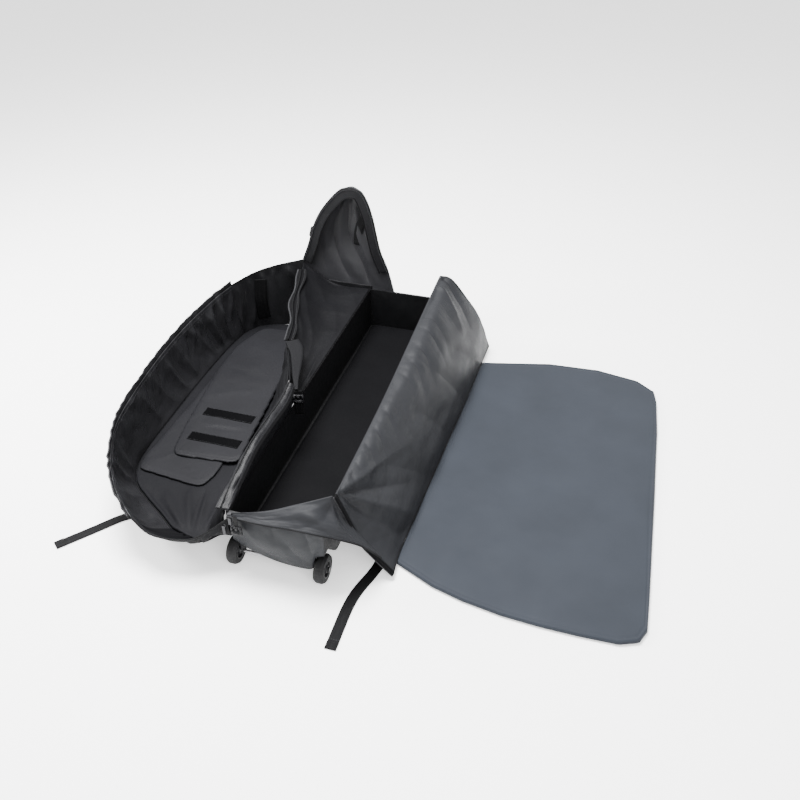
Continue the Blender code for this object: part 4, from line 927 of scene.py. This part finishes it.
def build_far_web(gusset):
    """The gusset's far corner, in broad dark folds, and the strap that hangs there."""
    web = Drape(loft(web_edges(FAR_WEB, gusset[-1]), 100, 70))
    web.gathers(0.055, 0.01, 33, lean=0.1, low=(0.02, 0.2), high=(0.85, 1.0))
    grid = add_foot(web.shape(start=0.004, end=0.012, low=0.012, high=0.004), width=0.045)
    cloth("far_web_cloth", grid, PLY, "gusset", FAR_BLEND, "far_gusset_web")
    piping("far_web_piping", grid[:, -1], 0.005, FAR_BLEND)
    hanging = curve([(-0.5239, 0.508, 0.212), (-0.528, 0.503, 0.127), (-0.5257, 0.5127, 0.045)], 40)
    strap("far_corner_webbing", hanging, (0.85, 0.53, 0), 0.045, WEBBING_THICK, FAR_BLEND,
          "far_corner_strap")


def build_fold_web():
    """The cloth between the shell's floor and the ridge, in long slack folds."""
    low, high = FOLD_WEB
    mid = middle(low, high, (0, 0, -0.008))
    mid[0] = (-0.142, -0.604, 0.14)
    web = Drape(loft([low, mid, high], 260, 56))
    web.gathers(0.045, 0.012, 35, lean=0.12, turned=True, start=(0.02, 0.12))
    web.gathers(0.12, 0.006, 36, lean=0.8)
    grid = web.shape(start=0.01, end=0.01, low=0.012, high=0.01)
    cloth("fold_web_cloth", grid, PLY, "web", FOLD_BLEND, "left_fold_web")
    piping("fold_web_piping", grid[0], 0.0075, FOLD_BLEND)


def build_flaps():
    """Two thin foam panels in cloth covers, the upper one with two hook strips."""
    pad("lower_flap_pad", rounded(LOWER_FLAP, 0.035), 0.0136, 0.0076, "flap", "left_shell", "flap_lower",
        21, 0.0008, puff=FLAP_PUFF, folds=LOWER_FLAP_FOLDS)
    pad("upper_flap_pad", rounded(UPPER_FLAP, 0.035), 0.0221, 0.0078, "flap", "upper_flap", "flap_upper",
        22, 0.001, puff=FLAP_PUFF, folds=UPPER_FLAP_FOLDS)
    for name, left, right, y in HOOKS:
        path = curve([(left, y, 0.0312), (right, y, 0.0312)], 40)
        strap(f"hook_tape_{name}", path, (0, 1, 0), 0.04, 0.0016, "upper_flap", f"hook_strip_{name}",
              look="hook")
        for edge, shift in (("low", -0.0178), ("high", 0.0178)):
            stitches(f"hook_stitches_{name}_{edge}", path + (0, shift, 0.001), (0, 1, 0), "upper_flap")


# Left wall: padded ridge, lining, zip edge, pocket

RIDGE = tenths(
    (-1392, -6000, 1910), (-1416, -5670, 2000), (-1428, -4602, 2300), (-1440, -3900, 2425),
    (-1452, -2880, 2400), (-1476, -1800, 2325), (-1524, -1050, 2425))
RIDGE_WIDTH, RIDGE_SIDES = 0.04, 32
TRAY_RIM = 0.1856
LINING_TOP = tenths(
    (-1572, -990, 2425), (-2322, 720, 2475), (-2748, 2172, 2475), (-3348, 4092, 2500), (-3876, 5940, 2550))
ZIP_EDGE = tenths(
    (-2388, 960, 2519), (-2748, 2172, 2519), (-3348, 4092, 2544), (-3732, 5400, 2574))
ZIP_TURNS = ((1, 0.1, 0.04), (1, 0.2, 0.04), (1, 0.3, 0.04), (1, 0.3, 0.041))
POCKET = tenths(
    (-1170, -1422, 2482), (-1398, -900, 2482), (-1632, -252, 2498), (-1926, 468, 2522), (-2250, 921, 2533))
POCKET_TURNS = ((0.82, 0.57, 0), (0.82, 0.57, 0.001), (0.96, 0.28, 0), (1, 0.1, 0), (1, 0.101, 0))
POCKET_WIDTH_SHARES = (0.2, 0.6, 0.84, 1.0, 0.9)
EDGE_TURN = (0.96, 0.28, 0.0)


def build_ridge():
    """The padded edge that stands on the tray's left wall, with its zip teeth and piping."""
    crest = curve(RIDGE, 160)
    half = (crest[:, 2] - TRAY_RIM) * 0.6
    path = crest - UP * half[:, None]
    scale = np.stack([np.full(len(crest), 0.95), half / (RIDGE_WIDTH / 2)], axis=1)
    section = oval(RIDGE_WIDTH, RIDGE_WIDTH, RIDGE_SIDES)
    ridge = sweep("left_edge_cushion", path, section, "ridge", side=(-1, 0, 0), scale=scale)
    places = np.array([v.co[:] for v in ridge.data.vertices])
    near = np.repeat(path, RIDGE_SIDES, axis=0)
    out = unit((places - near) * (1, 0, 1))
    angle = np.arctan2(out[:, 2], out[:, 0])
    wrinkle = 0.0035 * wander(places[:, 1], angle, 0.05, 0.7, 38)
    wrinkle += 0.002 * wander(places[:, 1], angle, 0.16, 0.3, 39)
    places += out * np.minimum(wrinkle, 0.001)[:, None]
    places[:, 2] = np.maximum(places[:, 2], TRAY_RIM)
    for vertex, place in zip(ridge.data.vertices, places):
        vertex.co = place
    settle(ridge, "bag_base", "left_edge_roll")
    line = crest + (0.012, 0, -0.004)
    strap("ridge_zip_tape", line + (0.0045, 0, -0.006), (0.45, 0, -0.9), 0.014, 0.0016, "bag_base", None,
          look="tape")
    teeth("ridge_zip_teeth", line + (0.002, 0, 0.0006), (0.45, 0, -0.9))
    piping("ridge_piping", crest + (-0.004, 0, 0.0006), 0.0036)


def widths(wide):
    """Scales for a strap that is wider and narrower along its path, and as thick all along."""
    return np.stack([wide, np.ones(len(wide))], axis=1)


def build_lining():
    """The cloth that hangs from the zip edge down to the tray's wall, with its pocket and webbing."""
    low = [(-0.133, p[1], 0.1872) for p in LINING_TOP]
    mid = [middle(a, b, UP * 0.05 * b[0] / 0.6) for a, b in zip(low, LINING_TOP)]
    hung = Drape(loft([low, mid, LINING_TOP], 160, 64))
    hung.gathers(0.06, 0.006, 37, lean=-0.2, turned=True)
    hung.gathers(0.16, 0.006, 34, lean=0.5, high=(0.7, 1.0))
    hung.swells(0.004, 0.16, 0.1, 38)
    grid = hung.shape(start=0.01, end=0.01, low=0.02, high=0.008)
    cloth("left_lining_cloth", grid, PLY, "inner", "bag_base", "left_lining")
    seam("lining_stitches", grid, np.s_[:, 3], -0.002)
    path = curve(ZIP_EDGE, 120)
    sway = np.linspace(0, 9, len(path))
    path[:, 0] += 0.005 * np.sin(sway)
    wide = 0.78 + 0.22 * np.sin(sway * 1.7 + 0.6) * ease(np.linspace(0, 4, len(path)))
    turns = curve(ZIP_TURNS, 120)
    strap("inner_zip_edge", path, turns, 0.036, 0.004, "bag_base", "inner_zip_band",
          look="fold", scale=widths(wide))
    beside = unit(np.array(turns)) * wide[:, None]
    teeth("inner_zip_teeth", path - beside * 0.0185 + UP * 0.001, turns)
    piping("inner_zip_piping", path + beside * 0.0165 + UP * 0.0012, 0.0042)
    piping("inner_zip_ply", path - beside * 0.003 + UP * 0.0022, 0.006, look="fold")
    stitches("inner_zip_stitches", path + beside * 0.011 + UP * 0.0024, turns)
    path = curve(POCKET, 60)
    wide = curve([(share, 0, 0) for share in POCKET_WIDTH_SHARES], 60)[:, 0]
    strap("zip_end_pocket", path, curve(POCKET_TURNS, 60), 0.05, 0.0076, "bag_base", "zip_end_pouch",
          look="inner", scale=widths(wide))
    strap("edge_webbing_strap", curve([(-0.114, -0.1392, 0.2436), (-0.114, -0.1392, 0.1586)], 20),
          EDGE_TURN, 0.024, WEBBING_THICK, "bag_base", "edge_webbing")
    buckle("edge_release_buckle", "edge_buckle", "bag_base", EDGE_TURN, (0, 0, 1))


# Peak: the far end of the side cover, which still stands

PEAK_LEFT = tenths(*[(x, 6050, z) for x, z in (
    (-3912, 1800), (-3900, 2665), (-3630, 3345), (-3420, 3997), (-3138, 4581), (-2748, 5109), (-2382, 5477),
    (-2112, 5591))])
PEAK_RIGHT = tenths(*[(x, 6050, z) for x, z in (
    (-430, 1800), (-660, 2665), (-930, 3345), (-1080, 3997), (-1200, 4581), (-1368, 5109), (-1572, 5477),
    (-1800, 5602))])
PEAK_BULGE = 0.03
PEAK_SWELL = (0.0, 0.5, 0.9, 1.0, 1.0, 0.9, 0.7, 0.4)
SKIRT = tenths(
    ((-3912, 6020, 20), (-2600, 6020, 20), (-1266, 6020, 20)),
    ((-3912, 6020, 1975), (-2600, 6020, 1975), (-1266, 6020, 1975)))
PEAK_LOOP = tenths(
    (-2938, 6336, 4421), (-3200, 6351, 4332), (-3344, 6360, 4160), (-3441, 6360, 3860))
PEAK_LOOP_TURNS = ((0, 1, 0), (0.2, 0.98, 0), (0.5, 0.87, 0), (0.68, 0.73, 0))


def build_peak():
    """The standing end's bulged cloth, its zip, the skirt behind it and its straps."""
    edges = []
    for share in (0.0, 0.25, 0.5, 0.75, 1.0):
        bulge = 4 * share * (1 - share) * PEAK_BULGE
        edges.append([a * (1 - share) + b * share + (0, bulge * swell, 0)
                      for a, b, swell in zip(PEAK_LEFT, PEAK_RIGHT, PEAK_SWELL)])
    face = Drape(loft(edges, 130, 90))
    face.gathers(0.05, 0.01, 41, lean=0.15, turned=True, start=(0.0, 0.15), end=(0.85, 1.0),
                 low=(0.1, 0.25), high=(0.75, 0.9))
    face.folds((95, 45, 55, 55, 60, 140, -60, -20), (80, 62, 30, 78, 60, 160, -70, -20),
               (85, 30, 35, 28, 60, 140, 50, 20))
    grid = face.shape(start=0.015, low=0.02, high=0.02)
    cloth("peak_cloth", grid, 0.007, "peak", "bag_base", "peak_panel")
    skirt = Drape(loft(SKIRT, 60, 40)).gathers(0.06, 0.004, 43)
    cloth("peak_skirt_cloth", skirt.shape(0.01, 0.01, 0.01, 0.01), 0.0026, "lining", "bag_base",
          "peak_skirt")
    build_peak_zip()
    hanging = curve([(-0.1841, 0.6228, 0.3427), (-0.1794, 0.6238, 0.3984), (-0.1578, 0.6173, 0.4562)], 30)
    strap("peak_inner_webbing", hanging, (1, -0.1, 0), 0.032, WEBBING_THICK, "bag_base", "peak_inner_strap")
    strap("peak_buckle_strap_cloth", curve(PEAK_LOOP, 40), curve(PEAK_LOOP_TURNS, 40), 0.02, WEBBING_THICK,
          "peak_buckle_strap", "peak_buckle_webbing")
    buckle("peak_release_buckle", "peak_buckle", "peak_buckle_strap", (0.68, 0.73, 0), (-0.28, 0, -0.96))


def build_peak_zip():
    """The zip band round the peak: ribbed tape, piping outside, teeth and stitches."""
    outline = curve([*PEAK_LEFT[1:], *reversed(PEAK_RIGHT[1:])], 180)
    centre = np.array((-0.217, 0.605, 0.43))
    inward = unit(np.cross(np.gradient(outline, axis=0), (0, 1, 0)))
    inward *= np.sign(((centre - outline) * inward).sum(1))[:, None]
    path = outline + inward * 0.017 + (0, -0.0061, 0)
    strap("peak_zip_edge", path, inward, 0.034, 0.0021, "bag_base", "peak_zip_tape",
          look="band")
    piping("peak_piping", outline + (0, -0.006, 0), 0.005)
    teeth("peak_zip_teeth", path - inward * 0.014 - (0, 0.0016, 0), inward)
    piping("peak_inner_piping", path + inward * 0.0165 - (0, 0.001, 0), 0.0036)
    stitches("peak_stitches", path + inward * 0.011 - (0, 0.0013, 0), inward)


# Right side: band on the wall, folded cover panel, corner flap

PANEL = tenths(
    ((1459, -5298, 2525), (1680, -5298, 2000), (2048, -5298, 1150), (2500, -5298, 600), (2950, -5298, 136)),
    ((1453, -4500, 2525), (1750, -4500, 2320), (2250, -4500, 1500), (2682, -4500, 700), (2902, -4500, 165)),
    ((1441, -3000, 2525), (1779, -3000, 2380), (2301, -3000, 1600), (2720, -3000, 800), (2942, -3000, 165)),
    ((1426, -1002, 2575), (1821, -1002, 2480), (2381, -1002, 1780), (2819, -1002, 950), (2994, -1002, 165)),
    ((1407, 1500, 2750), (1859, 1500, 2680), (2429, 1500, 1950), (2880, 1500, 1050), (3059, 1500, 165)),
    ((1390, 3702, 2907), (1840, 3726, 2862), (2461, 3750, 2050), (2931, 3774, 1100), (3120, 3798, 165)),
    ((1376, 5550, 3013), (1760, 5670, 2875), (2304, 5790, 2150), (2752, 5910, 1400), (3178, 6030, 150)))
NEAR_FLAP = tenths(
    ((-1200, -6090, 1880), (-203, -6000, 2120), (608, -5808, 2400), (1400, -5400, 2530)),
    ((-1180, -6200, 1840), (-200, -6300, 1940), (717, -6340, 2040), (1317, -6280, 1980),
     (1792, -6040, 1720), (2248, -5700, 1280), (2640, -5380, 660)))
COVER_BLEND = ("bag_base", "right_cover", (0.14, 0, 0), (0.182, 0, 0))
FLAP_BLEND = ("bag_base", "right_cover", (0.06, -0.6, 0), (0.19, -0.6, 0))


def build_right_cover():
    """The side cover, thrown over the tray's right wall, in satin folds."""
    over = Drape(loft([[row[k] for row in PANEL] for k in range(5)], 280, 100))
    over.gathers(0.085, 0.0055, 51, lean=0.5, low=(0.0, 0.06), high=(0.2, 0.55))
    over.gathers(0.04, 0.0022, 52, lean=0.3, low=(0.0, 0.04), high=(0.12, 0.35))
    over.gathers(0.22, 0.006, 53, lean=-0.7, low=(0.1, 0.5), high=(0.92, 1.0))
    over.swells(0.007, 0.3, 0.14, 54)
    over.folds((1, 2, 10, 95, 80, 200, 100, 40), (1, 2, 17, 90, 80, 240, -90, -30),
               (1, 2, 23, 70, 80, 220, 100, 30), (1, 2, 30, 42, 80, 200, -80, -20),
               (99, 5, 90, 55, 120, 240, 100, 30), (93, 5, 84, 45, 100, 200, -80, -20))
    grid = over.shape(start=0.006, end=0.004, low=0.012, high=0.012)
    cloth("right_cover_cloth", grid, 0.0038, "panel", COVER_BLEND, "right_panel")
    piping("right_hem_piping", grid[:, -1] + (0.0, 0, 0.0024), 0.0044, "right_cover")
    piping("right_far_piping", grid[-1], 0.0044, COVER_BLEND)
    seam("right_hem_stitches", grid, np.s_[:, -4], 0.0024, "right_cover")
    seam("right_near_stitches", grid, 3, 0.0024, COVER_BLEND)
    edge = grid[0]
    strap("right_zip_edge", edge - (0, 0.0075, 0), (0, 1, 0), 0.015, 0.009, COVER_BLEND, "right_zip_tape",
          look="fold")
    teeth("right_zip_teeth", edge - (0, 0.015, 0), (0, 1, 0), COVER_BLEND)
    rim = grid[np.linspace(0, len(grid) - 1, 12).astype(int), 0] - (0.0005, 0, 0.0006)
    low = [(0.133, point[1], 0.1857) for point in rim]
    high = [tuple(point) for point in rim]
    band = Drape(loft([low, high], 200, 20)).gathers(0.08, 0.003, 56, low=(0.1, 0.5))
    cloth("right_band_cloth", band.shape(high=0.008, low=0.01), PLY, "lining", "bag_base",
          "right_wall_band")


def build_near_flap():
    """The triangular corner between the two covers' near ends."""
    low, high = NEAR_FLAP
    mid = [(-0.119, -0.614, 0.186), (-0.02, -0.616, 0.201), (0.066, -0.612, 0.22), (0.132, -0.6, 0.222),
           (0.186, -0.539, 0.163)]
    flap = Drape(loft([low, mid, high], 150, 48))
    flap.folds((98, 5, 45, 85, 50, 140, 50, 20), (98, 5, 65, 95, 50, 140, -50, -20),
               (98, 5, 82, 95, 50, 120, 50, 20), (98, 5, 25, 45, 50, 140, -40, -10))
    flap.swells(0.003, 0.12, 0.05, 57)
    grid = flap.shape(start=0.01, end=0.006, low=0.008, high=0.004)
    cloth("near_corner_cloth", grid, PLY, "panel", FLAP_BLEND, "near_corner_flap")
    piping("near_corner_piping", grid[:, -1], 0.0042, FLAP_BLEND)
    seam("near_corner_stitches", grid, np.s_[:, -5], -0.002, FLAP_BLEND)


# Loose pad on the floor, and the straps

PAD = tenths(
    (2880, -4920), (4008, -5442), (4856, -5682), (5922, -5862), (6903, -5928), (7846, -5940), (8798, -5910),
    (9260, -5718), (9430, -5340), (9430, -4368), (9383, -588), (9317, 2742), (9223, 4320), (9109, 4890),
    (8534, 5370), (7167, 5652), (5479, 5568), (3140, 4980))
LEFT_STRAP = tenths(
    (-1800, -3143), (-2261, -3358), (-2705, -3605), (-3124, -3894), (-3931, -4515), (-4716, -5163),
    (-5091, -5506), (-5404, -5906), (-5720, -6305), (-6039, -6702), (-6198, -6900))
RIGHT_STRAP = tenths(
    (1727, -3751), (2036, -3993), (2269, -4309), (2429, -4667), (2466, -5056), (2389, -5441), (2278, -5819),
    (2185, -6201), (2142, -6591), (2134, -6985), (2140, -7378), (2147, -7771), (2148, -7968))


def build_side_pad():
    """The loose padded panel that lies on the floor."""
    pad("side_pad_cloth", np.array(PAD), 0.0008, 0.0138, "pad", "loose_pad", "side_pad", 61, 0.0008,
        edge=0.007, seam=0.014, swell_size=0.25, count=420,
        folds=((0.45, -0.5, 0.62, -0.1, 0.05, 0.0008), (0.8, 0.45, 0.6, 0.1, 0.06, -0.0008)))


FOLDED = 9  # points of a floor strap's folded end


def floor_strap(name, side, start, table):
    """Webbing from the tray's wall down to the floor and out along it."""
    down = [(0.1364, 0, 0.048), (0.1364, 0, 0.024), (0.1377, -0.0002, 0.0142), (0.1416, -0.0008, 0.0073),
            (0.1481, -0.0017, 0.0031), (0.1572, -0.003, 0.0017)]
    line = [(side * x, start + y, z) for x, y, z in down] + [(*place, 0.0017) for place in table]
    line = curve(line, 200)
    ahead = np.gradient(line, axis=0)
    turns = np.stack([-ahead[:, 1], ahead[:, 0], np.zeros(len(line))], axis=1)
    turns[np.linalg.norm(turns, axis=1) < 0.0001] = (0, side, 0)
    for k in range(1, len(turns)):
        if turns[k] @ turns[k - 1] < 0:
            turns[k] *= -1
    strap(f"{name}_floor_strap", line, turns, 0.03, WEBBING_THICK, "bag_base", f"{name}_strap")
    end = line[-12]
    fold = line[-FOLDED:] + UP * 0.0018
    strap(f"{name}_strap_end", fold, turns[-FOLDED:], 0.03, 0.0016, "bag_base", None)
    row = [end + UP * 0.0012 + unit(turns[-12]) * s for s in np.linspace(-0.012, 0.012, FOLDED)]
    stitches(f"{name}_strap_stitches", np.array(row), ahead[-FOLDED:])


def build_straps():
    """The two floor straps, and the corner buckle on its webbing."""
    floor_strap("left", -1, -0.3, LEFT_STRAP)
    floor_strap("right", 1, -0.36, RIGHT_STRAP)
    strap("corner_strap", curve([(-0.0882, -0.632, 0.2058), (-0.0882, -0.632, 0.1722)], 16), (1, 0, 0),
          0.0138, WEBBING_THICK, "corner_buckle", "corner_buckle_webbing")
    buckle("corner_release_buckle", "corner_buckle", "corner_buckle", (1, 0, 0), (0, 0, 1))


build_camera()
build_studio()
finish_rigid_pieces()
build_tray_ends()
build_left_cover()
build_ridge()
build_lining()
build_peak()
build_right_cover()
build_near_flap()
build_side_pad()
build_straps()
